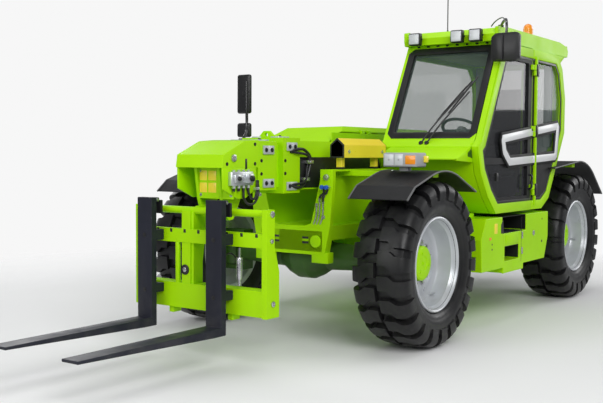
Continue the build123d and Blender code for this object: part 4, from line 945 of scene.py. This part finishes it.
def makeCabSide(look):
    y = look["side"]
    onDoor = [("x", look["doorEdge"], True)]
    behind = [("x", look["postEdge"], False)]
    for name, body, keep in (("door", "door", onDoor), ("quarter", "root", behind)):
        finishAll(name + "_side", body, {
            "ring": (ringOn(look["outline"], 0.0, 0.078, y, 0.012, keep, 0.004), lime),
            "seal": (ringOn(look["outline"], 0.078, 0.1, y - 0.001, 0.006, keep, 0.002), black),
            "trim_bed": (ringOn(look["hexagon"], 0.0, 0.105, y - 0.001, 0.014, keep, 0.003), charcoal),
            "trim_band": (ringOn(look["hexagon"], 0.02, 0.082, y + 0.01, 0.008, keep, 0.003), pale),
        })
    inner = ringOn(look["outline"], 0.098, 0.1235, y - 0.0465, 0.048, onDoor, 0.0)
    addBox(inner, (-1.283, -1.2065), (y - 0.0465, y + 0.0015), (0.985, 2.16), 0.0)
    addBox(inner, (-1.208, -0.322), (y - 0.0465, y + 0.0015), (1.2815, 1.3335), 0.0)
    finishPiece("door_inner_frame", inner, "door", charcoal)
    lowPanel = ringOn(look["outline"], 0.098, 0.0, y - 0.001, 0.003, behind + [("z", 1.335, False)], 0.0)
    finishPiece("quarter_low_panel", lowPanel, "root", charcoal)
    post, pads = newMeshes(2)
    addBox(post, (-1.384, -1.294), (y - 0.002, y + 0.0015), (1.32, 2.18), 0.0)
    finishPiece("post_cover", post, "root", charcoal)
    bar = bmesh.new()
    addBox(bar, (-1.362, -1.336), (y, y + 0.024), (0.925, 2.2), 0.005)
    finishPiece("post_bar", bar, "root", lime)
    for z in (1.06, 1.56, 2.08):
        addBox(pads, (-1.372, -1.334), (y + 0.006, y + 0.032), (z - 0.052, z + 0.052), 0.006)
    addBox(pads, (-0.535, -0.5), (y + 0.008, y + 0.03), (1.15, 1.215), 0.006)
    finishPiece("post_pads", pads, "root", black)
    handle = bmesh.new()
    addTube(handle, [(-1.215, y + 0.012, 1.19), (-1.212, y + 0.038, 1.182), (-1.205, y + 0.04, 1.13),
                     (-1.204, y + 0.04, 1.08), (-1.208, y + 0.012, 1.07)], 0.009)
    finishPiece("door_handle", handle, "door", black)


screenLook = {"foot": (-0.255, 1.475), "head": (-0.665, 2.265), "y": (0.215, 1.0), "run": (0.01, 0.865)}


def screenPoint(y, along, out, look=screenLook):
    foot, head = Vector(look["foot"]), Vector(look["head"])
    way = (head - foot).normalized()
    normal = Vector((way.y, -way.x))
    spot = foot + way * along + normal * out
    return Vector((spot.x, y, spot.y))


def makeScreenSeal(look):
    bm = bmesh.new()
    y, run, corner = look["y"], look["run"], 0.045
    outline = [(y[0], run[0] + corner), (y[0] + corner, run[0]), (y[1] - corner, run[0]),
               (y[1], run[0] + corner), (y[1], run[1] - corner), (y[1] - corner, run[1]),
               (y[0] + corner, run[1]), (y[0], run[1] - corner)]
    face = bm.faces.new([bm.verts.new(screenPoint(a, b, 0.003)) for a, b in outline])
    bm.normal_update()
    insetFace(bm, face, 0.058)
    bmesh.ops.delete(bm, geom=[face], context="FACES_ONLY")
    thicken(bm, bm.faces[:], screenPoint(0, 0, -0.045) - screenPoint(0, 0, 0.003))
    bmesh.ops.recalc_face_normals(bm, faces=bm.faces)
    roundEdges(bm, [e for e in bm.edges if len(e.link_faces) == 2 and e.calc_face_angle(0) > 0.9], 0.004)
    finishPiece("screen_seal", bm, "root", black)


def makeWipers():
    bm = bmesh.new()
    for shift in (0.0, 0.05):
        foot = screenPoint(0.56 + shift, -0.045, 0.028)
        knee = screenPoint(0.64 + shift, 0.12, 0.03)
        tip = screenPoint(0.815 + shift, 0.42, 0.016)
        addTube(bm, [foot, knee, (knee + tip) / 2, tip], 0.0065)
        addRod(bm, foot - Vector((0.03, 0, 0.012)), foot + Vector((0.01, 0, 0.004)), 0.016, 24, edge=0.002)
    for low, high in (((0.725, 0.235), (0.905, 0.56)), ((0.64, 0.165), (0.86, 0.52))):
        start, end = screenPoint(low[0], low[1], 0.009), screenPoint(high[0], high[1], 0.009)
        addTube(bm, [start, (start + end) / 2, end], 0.006)
        addTube(bm, [screenPoint(low[0] + 0.03, low[1] + 0.05, 0.016),
                     screenPoint(high[0] - 0.03, high[1] - 0.05, 0.016)], 0.0045, smooth=False)
    finishPiece("wipers", bm, "root", black)


def makeRoofFront():
    slatMesh, limeMesh, greyMesh = newMeshes(3)
    for step in range(8):          # the slatted visor under the roof's front edge
        y = 0.285 + 0.088 * step
        addPlate(slatMesh, [(-0.735, 2.2), (-0.715, 2.2), (-0.645, 2.262), (-0.665, 2.262)], "y", y,
                 y + 0.02)
    addBox(slatMesh, (-0.7, -0.672), (0.24, 0.99), (2.205, 2.22), 0.004)
    addPlate(limeMesh, [(-0.655, 2.262), (-0.59, 2.262), (-0.575, 2.3), (-0.575, 2.372), (-0.64, 2.384)],
             "y", 0.196, 0.222, 0.004)
    addPlate(limeMesh, [(-0.655, 2.23), (-0.59, 2.262), (-0.575, 2.3), (-0.575, 2.372), (-0.64, 2.384)],
             "y", 1.01, 1.038, 0.004)
    for y in ((0.96, 1.036), (0.2, 0.276)):
        addPlate(limeMesh, [(-2.198, 2.3), (-1.98, 2.18), (-1.93, 2.2), (-1.9, 2.262), (-2.19, 2.372)], "y",
                 *y, 0.006)
    addBox(greyMesh, (-1.9, -0.72), (0.245, 0.985), (2.196, 2.214), 0.006)
    for y in ((0.25, 0.33), (0.92, 0.99)):
        addBox(greyMesh, (-1.96, -1.9), y, (1.43, 2.2), 0.012)
    finishAll("roof", "root", {"visor": (slatMesh, slate), "corners": (limeMesh, lime),
                               "headliner": (greyMesh, greyTrim)})


print("head, boom, carriage and cab shapes defined")
makeHead(headLook)
makeValveBlock(valveLook)
for name, look in collarLooks.items():
    makeCollarPads(name, look)
makeBoomSide()
makeCarriageParts(carriageLook)
makeBulkheadParts()
makeCabSide(cabLook)
makeScreenSeal(screenLook)
makeWipers()
makeRoofFront()
print("outer details ready")

# lamps, antenna, beacon, mirrors and the stowed strut
lampLooks = {"headX": 0.72, "headY": (0.75, 1.02), "headZ": (1.27, 1.37), "workX": -0.4947,
             "workY": (0.33, 0.71, 0.87), "workZ": (2.255, 2.36)}


def makeHeadlamps(look):
    housing, white, amber, marker = newMeshes(4)
    x, low, high = look["headX"], look["headY"][0], look["headY"][1]
    z = look["headZ"]
    for side in (1, -1):
        addBox(housing, (x - 0.148, x - 0.012), span(side, low + 0.002, high - 0.002), z, 0.012, 3)
        addBox(housing, (x - 0.03, x - 0.003), span(side, low + 0.004, high - 0.004),
               (z[0] + 0.003, z[1] - 0.003), 0.005)
        for a, b in ((0.012, 0.088), (0.094, 0.16)):
            addBox(white, (x - 0.01, x), span(side, low + a, low + b), (z[0] + 0.01, z[1] - 0.01), 0.008, 3)
        for y in (low + 0.05, low + 0.127):
            addRod(housing, (x - 0.002, side * y, (z[0] + z[1]) / 2),
                   (x + 0.0005, side * y, (z[0] + z[1]) / 2), 0.007, 20)
        addBox(amber, (x - 0.06, x - 0.001), span(side, low + 0.172, high - 0.008),
               (z[0] + 0.014, z[1] - 0.014), 0.012, 3)
        addBox(marker, (x - 0.145, x - 0.1), span(side, high - 0.004, high + 0.016),
               (z[0] + 0.032, z[1] - 0.022), 0.005)
        addBox(housing, (x - 0.11, x - 0.06), span(side, 0.85, 0.92), (1.24, 1.272), 0.005)
    finishAll("headlamp", "root", {"housings": (housing, greyTrim, "headlamps"),
                                   "lenses": (white, whiteLens), "indicators": (amber, amberLens),
                                   "markers": (marker, yellow)})


def makeWorkLamps(look):
    housing, glow, stay = newMeshes(3)
    x, z = look["workX"], look["workZ"]
    for y in look["workY"]:
        addBox(housing, (x - 0.06, x - 0.004), (y - 0.053, y + 0.053), (z[0] + 0.002, z[1] - 0.002), 0.012,
               3)
        for step in (-0.03, -0.01, 0.01, 0.03):       # cooling fins
            addBox(housing, (x - 0.076, x - 0.055), (y + step - 0.004, y + step + 0.004),
                   (z[0] + 0.018, z[1] - 0.018), 0.002)
        addBox(glow, (x - 0.012, x - 0.001), (y - 0.044, y + 0.044), (z[0] + 0.011, z[1] - 0.011), 0.008, 3)
        addRod(stay, (x - 0.045, y - 0.058, 2.308), (x - 0.045, y + 0.058, 2.308), 0.008, 20)
        addBox(stay, (x - 0.09, x - 0.036), (y - 0.018, y + 0.018), (2.298, 2.32), 0.004)
    finishAll("worklamp", "root", {"housings": (housing, black, "work_lamps"), "lenses": (glow, whiteLens),
                                   "stays": (stay, slate)})


def makeAntenna():
    bm = bmesh.new()
    addRod(bm, (-0.98, 0.4, 2.384), (-0.98, 0.4, 2.402), 0.016, 28, 0.01, 0.002)
    addRod(bm, (-0.98, 0.4, 2.4), (-0.98, 0.4, 2.43), 0.0075, 20)
    addRod(bm, (-0.98, 0.4, 2.428), (-0.98, 0.4, 2.6995), 0.0048, 16)
    finishPiece("antenna_whip", bm, "root", black)


def makeBeacon():
    base, dome = newMeshes(2)
    place = (-1.68, 0.85, 2.385)
    addSpun(base, [(0.0, 0.0), (0.0, 0.054), (0.012, 0.055), (0.02, 0.051), (0.03, 0.05), (0.036, 0.046),
                   (0.036, 0.0)], place, (0, 0, 1), 48, closed=False)
    addSpun(dome, [(0.034, 0.0), (0.034, 0.0445), (0.095, 0.043), (0.118, 0.039), (0.134, 0.03),
                   (0.145, 0.016), (0.149, 0.0)], place, (0, 0, 1), 48, closed=False)
    for step in range(3):
        addSpun(dome, [(0.046 + 0.022 * step, 0.0435), (0.05 + 0.022 * step, 0.0455),
                       (0.054 + 0.022 * step, 0.0435)], place, (0, 0, 1), 48)
    finishAll("beacon", "root", {"base": (base, black), "dome": (dome, amberLens, "beacon")})


def makeMirrors():
    shell, glass, arm = newMeshes(3)
    addPlate(shell, [(1.03, 2.088), (1.215, 2.082), (1.249, 2.11), (1.249, 2.285), (1.225, 2.309),
                     (1.05, 2.309), (1.012, 2.28), (1.012, 2.11)], "x", -0.54, -0.492, 0.012)
    addPlate(glass, [(1.045, 2.102), (1.205, 2.096), (1.236, 2.118), (1.236, 2.276), (1.215, 2.296),
                     (1.06, 2.296), (1.027, 2.27), (1.027, 2.12)], "x", -0.542, -0.538, 0.001)
    addPlate(shell, [(1.04, 2.15), (1.06, 2.098), (1.12, 2.098), (1.12, 2.296), (1.04, 2.296)], "x", -0.494,
             -0.476, 0.008)
    for y, z in (((-1.249, -1.102), (1.712, 2.059)), ((-1.249, -1.102), (1.502, 1.629))):
        addBox(shell, (-0.168, -0.122), y, z, 0.022, 4)
        addBox(glass, (-0.17, -0.166), (y[0] + 0.012, y[1] - 0.012), (z[0] + 0.014, z[1] - 0.014), 0.0012)
        addBox(shell, (-0.15, -0.112), (-1.175, -1.12),
               ((z[0] + z[1]) / 2 - 0.02, (z[0] + z[1]) / 2 + 0.02), 0.006)
    foot, head = (-0.79, 0.97, 2.4), (-0.515, 1.13, 2.4)
    addRod(arm, (foot[0], foot[1], 2.3855), (foot[0], foot[1], 2.412), 0.024, 28, edge=0.004)
    addTube(arm, [foot, (-0.7, 1.022, 2.414), (-0.56, 1.104, 2.414), (head[0], head[1], 2.404),
                  (head[0], head[1] + 0.004, 2.36), (head[0], head[1] + 0.002, 2.3)], 0.011)
    addRod(arm, (0.28, -1.0, 1.2325), (0.28, -1.0, 1.3), 0.0135, 20)
    addTube(arm, [(0.28, -1.0, 1.24), (0.28, -1.0, 1.29), (0.1, -1.052, 1.42), (-0.1, -1.118, 1.545),
                  (-0.12, -1.13, 1.58), (-0.12, -1.13, 1.76), (-0.12, -1.13, 1.998)], 0.0135)
    addTube(arm, [(-0.69, 0.93, 2.392), (-0.64, 0.985, 2.42), (-0.575, 1.07, 2.436), (-0.522, 1.118, 2.41)],
            0.005)
    finishAll("mirror", "root", {"shells": (shell, black, "mirrors"), "glasses": (glass, chrome),
                                 "arms": (arm, glossBlack)})


strutLook = {"section": [(0.28, 1.33), (0.4, 1.33), (0.4, 1.425), (0.34, 1.475), (0.28, 1.425)],
             "x": (0.06, 0.67)}


def makeStrutParts(look):
    frameMesh, shadedInsideMesh, boltMesh = newMeshes(3)
    inner = [(0.289, 1.339), (0.391, 1.339), (0.391, 1.42), (0.34, 1.463), (0.289, 1.42)]
    for x in (look["x"][1] - 0.004, look["x"][0] + 0.001):
        face = frameMesh.faces.new([frameMesh.verts.new((x, a, b)) for a, b in look["section"]])
        frameMesh.normal_update()
        insetFace(frameMesh, face, 0.011)
        bmesh.ops.delete(frameMesh, geom=[face], context="FACES_ONLY")
    thicken(frameMesh, frameMesh.faces[:], (0.006, 0, 0))
    # painted shade: an orange sheet set inside the channel's open end stands for the yellow in shade there
    addPlate(shadedInsideMesh, inner, "x", look["x"][1] - 0.12, look["x"][1] - 0.112)
    for x in (0.12, 0.6):
        addBox(frameMesh, (x - 0.022, x + 0.022), (0.296, 0.354), (1.2455, 1.262), 0.003)
        addBolt(boltMesh, (x, 0.4, 1.375), (0, 1, 0), 0.01, 0.008)
    finishAll("strut", "root", {"end_frames": (frameMesh, black), "shaded_inside": (shadedInsideMesh, shadedYellowAndOrangeLabel),
                                "bolts": (boltMesh, bright)})


# fender lips, lighter grey as a painted highlight along the fender edges, and their bolts
fenderLooks = {
    "front": {"centre": (0.49, 0.59), "radius": 0.653, "arc": (74, 112),
              "front": [(0.535, 0.468), (0.43, 0.552)], "rear": [(-0.524, 0.494)]},
    "rear": {"centre": (-2.38, 0.59), "radius": 0.709, "arc": (85, 126), "front": [(0.688, 0.651)],
             "rear": [(-0.684, 0.38)]},
}


def makeFenderLips(name, look):
    lip, bolts = newMeshes(2)
    x, z = look["centre"]
    first, last = look["arc"]
    turns = [math.radians(first + (last - first) * step / 16) for step in range(17)]
    arc = [(look["radius"] * math.cos(t), look["radius"] * math.sin(t)) for t in turns]
    path = look["front"] + arc + look["rear"]
    for side in (1, -1):
        for y in (1.116, 0.664):
            # painted highlight: lighter grey tubes along the fender's outer and inner edges
            addTube(lip, [(x + a, side * y, z + b) for a, b in path], 0.0065, smooth=False)
        for a, b in (arc[3], arc[13]):
            addBolt(bolts, (x + a, side * 0.76, z + b + 0.004), (0, 0, 1), 0.009, 0.007)
    finishAll(name + "_fender", "root", {"lips": (lip, edgeHighlightGrey), "bolts": (bolts, bright)})


# side box: step openings darkened by painted shade, treads, hinges, blank labels, caps and kick plates
def makeSideBoxParts():
    label, orange, dark, metal, green, tread = newMeshes(6)
    y = 1.08
    addBox(label, (-0.53, -0.47), (y - 0.001, y + 0.0015), (0.735, 0.815), 0.0007)
    addBox(orange, (-0.415, -0.375), (y - 0.001, y + 0.0015), (0.69, 0.712), 0.0007)
    for x, z, depth in (((-0.978, -0.682), (0.502, 0.618), 0.936),
                        ((-1.128, -0.632), (0.727, 0.858), 0.866)):
        for end in x:      # painted shade: black sheets on the walls and ceilings of the two step openings
            addBox(dark, (end - 0.0015, end + 0.0015), (depth, y - 0.006), (z[0] + 0.006, z[1]), 0.0)
        addBox(dark, x, (depth, y - 0.006), (z[1] - 0.0015, z[1] + 0.0015), 0.0)
    for x, z, r in ((-0.43, 0.655, 0.008), (-0.43, 0.615, 0.008), (-1.5, 0.605, 0.012), (-1.5, 0.8, 0.008)):
        addRod(dark, (x, y - 0.001, z), (x, y + 0.001, z), r, 20)
    addRod(metal, (-1.3, y - 0.001, 0.69), (-1.3, y + 0.006, 0.69), 0.022, 32, edge=0.002)
    for z in (0.56, 0.69):
        addRod(metal, (-1.035, y + 0.004, z - 0.028), (-1.035, y + 0.004, z + 0.028), 0.009, 20)
    addBox(dark, (-1.03, -1.026), (y - 0.002, y + 0.0008), (0.47, 0.84), 0.0)
    # painted shade: black sheets at the backs of the two step openings
    addBox(dark, (-0.978, -0.682), (0.932, 0.936), (0.502, 0.618), 0.0)
    addBox(dark, (-1.128, -0.632), (0.862, 0.866), (0.727, 0.858), 0.0)
    for count, first, pitch, half, reach, z in ((9, -1.07, 0.048, 0.012, (0.87, 1.07), (0.7245, 0.73)),
                                                (8, -1.05, 0.05, 0.01, (0.935, 1.074), (0.4545, 0.459))):
        for step in range(count):
            x = first + pitch * step
            addBox(tread, (x - half, x + half), reach, z, 0.002)
    addBox(green, (-1.085, -0.655), (1.062, 1.079), (0.402, 0.462), 0.006)
    addBox(green, (-0.955, -0.7), (y - 0.001, y + 0.004), (0.635, 0.715), 0.003)
    addPlate(dark, [(-0.655, 0.73), (-0.6, 0.73), (-0.6, 0.8), (-0.64, 0.84)], "y", 1.0785, 1.0815)
    finishAll("side_box", "root", {"label": (label, yellow), "small_label": (orange, shadedYellowAndOrangeLabel),
                                   "holes_and_step_shade": (dark, black), "caps": (metal, bright),
                                   "kick_plates": (green, lime), "treads": (tread, slate)})


# cowl between the windscreen's foot and the front fender
def makeCowl():
    green, dark = newMeshes(2)
    addPlate(green, [(-0.255, 1.462), (-0.2, 1.445), (-0.195, 1.405), (0.06, 1.33), (0.06, 1.312),
                     (-0.215, 1.3)], "y", 0.985, 1.004, 0.003)
    addPlate(green, [(-0.245, 1.452), (-0.19, 1.418), (0.06, 1.33), (0.06, 1.318), (-0.205, 1.4),
                     (-0.255, 1.438)], "y", 0.3, 1.0, 0.003)
    # painted shade: a dark green sheet and disc stand for the shaded lime of the cowl's sunken panel
    addPlate(dark, [(-0.205, 1.415), (-0.12, 1.372), (-0.12, 1.345), (-0.205, 1.33)], "y", 1.0035, 1.0052)
    addRod(dark, (-0.17, 1.003, 1.365), (-0.17, 1.01, 1.365), 0.009, 20)
    addPlate(green, [(-0.2, 1.33), (0.045, 1.318), (0.02, 1.262), (-0.13, 1.255), (-0.215, 1.18)], "y",
             0.405, 0.42, 0.003)
    finishAll("cowl", "root", {"panels": (green, lime), "sunken_panel_shade": (dark, deepGreenAndSunkenShade)})


# inside the cab: padded seat, consoles, dash, steering wheel and pedals
seatLook = {
    "voxel": 0.009, "pressure": 4.0, "cap": 0.014, "channelWidth": 0.007, "channelDepth": 0.007,
    "pads": {
        "seat_pad": {"outline": [(-1.612, 1.176), (-1.136, 1.176), (-1.14, 1.256), (-1.612, 1.25)],
                     "y": (0.396, 0.844), "along": (-1, 0, 0), "channels": (1.24, 1.36, 1.48),
                     "replaced": ["seat"]},
        "back_pad": {"outline": [(-1.606, 1.29), (-1.536, 1.29), (-1.668, 1.96), (-1.732, 1.96)],
                     "y": (0.416, 0.824), "along": (0, 0, 1), "channels": (1.44, 1.59, 1.74),
                     "replaced": []},
    },
}


def makePad(name, pad, look):
    # a pad blown up by cloth pressure, its sewn channels pressed in afterwards
    bm = bmesh.new()
    addPlate(bm, pad["outline"], "y", *pad["y"], edge=0.022)
    piece = finishPiece(name, bm, "root", cloth, pad["replaced"])
    bpy.context.view_layer.objects.active = piece
    remesh = piece.modifiers.new("remesh", "REMESH")
    remesh.mode = "VOXEL"
    remesh.voxel_size = look["voxel"]
    bpy.ops.object.modifier_apply(modifier="remesh")
    before = [spot.co.copy() for spot in piece.data.vertices]
    puff = piece.modifiers.new("puff", "CLOTH")
    puff.settings.use_pressure = True
    puff.settings.uniform_pressure_force = look["pressure"]
    puff.settings.effector_weights.gravity = 0.0
    for frame in range(1, 21):
        bpy.context.scene.frame_set(frame)
    bpy.ops.object.modifier_apply(modifier="puff")
    bpy.context.scene.frame_set(1)
    for spot, old in zip(piece.data.vertices, before):
        moved = spot.co - old
        if moved.length > look["cap"]:
            spot.co = old + moved.normalized() * look["cap"]
    along = Vector(pad["along"])
    for spot in piece.data.vertices:
        far = min(abs(spot.co.dot(along) - channel) for channel in pad["channels"])
        spot.co -= spot.normal * look["channelDepth"] * math.exp(-(far / look["channelWidth"]) ** 2)
    piece.data.polygons.foreach_set("use_smooth", [True] * len(piece.data.polygons))
    rounding = piece.modifiers.new("rounding", "SUBSURF")
    rounding.levels = 1
    rounding.render_levels = 1


def makeSeat(look):
    for name, pad in look["pads"].items():
        makePad(name, pad, look)
    base, rails = newMeshes(2)
    addBox(base, (-1.585, -1.17), (0.43, 0.81), (0.985, 1.178), 0.03, 4)
    addPlate(base, [(-1.64, 1.262), (-1.604, 1.262), (-1.732, 1.955), (-1.752, 1.955)], "y", 0.41, 0.83,
             0.01)
    addBox(base, (-1.625, -1.56), (0.47, 0.77), (1.14, 1.3), 0.012, 3)
    for step in range(4):      # the folds of the bellows under the seat
        addBox(base, (-1.565, -1.19), (0.45, 0.79), (0.94 + 0.014 * step, 0.951 + 0.014 * step), 0.005)
    for y in (0.45, 0.76):
        addBox(rails, (-1.59, -1.16), (y, y + 0.03), (0.9365, 0.95), 0.003)
    finishAll("seat", "root", {"base": (base, charcoal), "rails": (rails, bright)})


def makeInterior():
    grey, dark, metal, screen = newMeshes(4)
    addBox(grey, (-0.52, -0.36), (0.3, 0.94), (1.15, 1.33), 0.03, 4)
    addBox(grey, (-0.61, -0.5), (0.48, 0.8), (1.22, 1.4), 0.03, 4)
    addBox(dark, (-0.612, -0.604), (0.52, 0.76), (1.3, 1.38), 0.004)
    addBox(grey, (-1.65, -0.9), (0.24, 0.345), (0.965, 1.33), 0.025, 4)
    addBox(grey, (-1.42, -1.06), (0.25, 0.35), (1.3, 1.4), 0.02, 4)
    addBox(dark, (-1.11, -1.08), (0.262, 0.4), (1.39, 1.56), 0.012, 3)
    addBox(screen, (-1.112, -1.109), (0.275, 0.388), (1.41, 1.545), 0.001)
    addRod(dark, (-1.24, 0.3, 1.395), (-1.215, 0.3, 1.48), 0.012, 20)
    addRod(dark, (-1.215, 0.3, 1.478), (-1.205, 0.3, 1.53), 0.022, 24, edge=0.008)
    addPlate(grey, [(-1.69, 1.02), (-1.645, 1.02), (-1.955, 1.49), (-1.955, 1.56), (-2.03, 1.545)], "y",
             0.262, 0.958, 0.008)
    for y in (0.52, 0.6, 0.74):
        addBox(dark, (-0.64, -0.6), (y - 0.032, y + 0.032), (0.985, 1.06), 0.006)
        addRod(metal, (-0.6, y, 1.02), (-0.545, y, 1.12), 0.008, 16)
    addBox(dark, (-1.6, -0.6), (0.25, 0.97), (0.9365, 0.944), 0.002)
    finishAll("cab", "root", {"consoles": (grey, greyTrim), "controls": (dark, black),
                              "pedal_arms": (metal, bright), "screen": (screen, glossBlack)})


def makeSteeringWheel():
    dark, grey = newMeshes(2)
    centre, axis = Vector((-0.83, 0.62, 1.56)), Vector((-0.55, 0, 0.83)).normalized()
    turns = [2 * math.pi * k / 10 for k in range(10)]
    ring = [(0.012 * math.cos(t), 0.166 + 0.014 * math.sin(t)) for t in turns]
    addSpun(dark, ring, centre, axis, 56)
    across = Vector((0, 1, 0))
    up = axis.cross(across)
    for way in (across, -across, up):
        addRod(dark, centre + way * 0.03, centre + way * 0.16, 0.011, 16)
    addRod(grey, centre - axis * 0.018, centre + axis * 0.016, 0.046, 32, edge=0.006)
    addRod(dark, (-0.71, 0.62, 1.25), centre - axis * 0.016, 0.03, 28)
    addBox(grey, (-0.768, -0.612), (0.492, 0.748), (0.9355, 1.298), 0.025, 4)
    addRod(dark, centre - axis * 0.1 + across * 0.03, centre - axis * 0.1 + across * 0.15, 0.007, 16)
    finishAll("steering", "root", {"wheel": (dark, black, "steering_column"), "column": (grey, greyTrim)})


# engine side, tail and boom pivot
def makeBonnetParts():
    dark, metal = newMeshes(2)
    for bank in (-1.28, -0.76):
        for step in range(9):
            z = 1.115 + 0.03 * step
            lean = (z - 1.015) * 0.045
            addPlate(dark, [(-1.0545 + lean, z), (-1.062 + lean, z + 0.004), (-1.0545 + lean, z + 0.018)],
                     "x", bank - 0.19, bank + 0.19)
    for step in range(8):
        addBox(dark, (-2.081, -2.078), (-0.9, -0.45), (1.37 + 0.024 * step, 1.382 + 0.024 * step), 0.001)
    for x in ((-1.06, -0.99), (-0.56, -0.49)):
        addBox(metal, x, (-1.066, -1.052), (1.045, 1.075), 0.004)
    finishAll("bonnet", "bonnet", {"louvres": (dark, black), "catches": (metal, bright)})


def makeTail():
    dark, lens, red, metal, label = newMeshes(5)
    for side in (1, -1):
        addBox(dark, (-3.05, -2.992), span(side, 0.3, 0.46), (0.9505, 1.05), 0.01, 3)
        for low, high, bm in ((0.308, 0.372, red), (0.38, 0.415, lens), (0.421, 0.453, dark)):
            addBox(bm, (-3.056, -3.045), span(side, low, high), (0.962, 1.04), 0.005)
        addBolt(metal, (-3.06, side * 0.25, 0.8), (-1, 0, 0), 0.014, 0.01)
        addBolt(metal, (-2.63, side * 0.23, 1.37), (0, side, 0), 0.03, 0.02)
        addRod(metal, (-2.63, side * 0.23, 1.37), (-2.63, side * 0.252, 1.37), 0.055, 40, edge=0.003)
    addBox(label, (-3.0625, -3.06), (-0.13, 0.13), (0.78, 0.86), 0.0008)
    finishAll("tail", "root", {"lamp_bodies": (dark, black), "indicators": (lens, amberLens),
                               "stop_lamps": (red, redLens, "rear_lamps"), "pins": (metal, bright),
                               "plate": (label, pale)})


makeHeadlamps(lampLooks)
makeWorkLamps(lampLooks)
makeAntenna()
makeBeacon()
makeMirrors()
makeStrutParts(strutLook)
for name, look in fenderLooks.items():
    makeFenderLips(name, look)
makeSideBoxParts()
makeCowl()
makeInterior()
makeSeat(seatLook)
print("seat pads blown up")
makeSteeringWheel()
makeBonnetParts()
makeTail()
print("lamps, mirrors, box, cab inside, bonnet and tail ready")
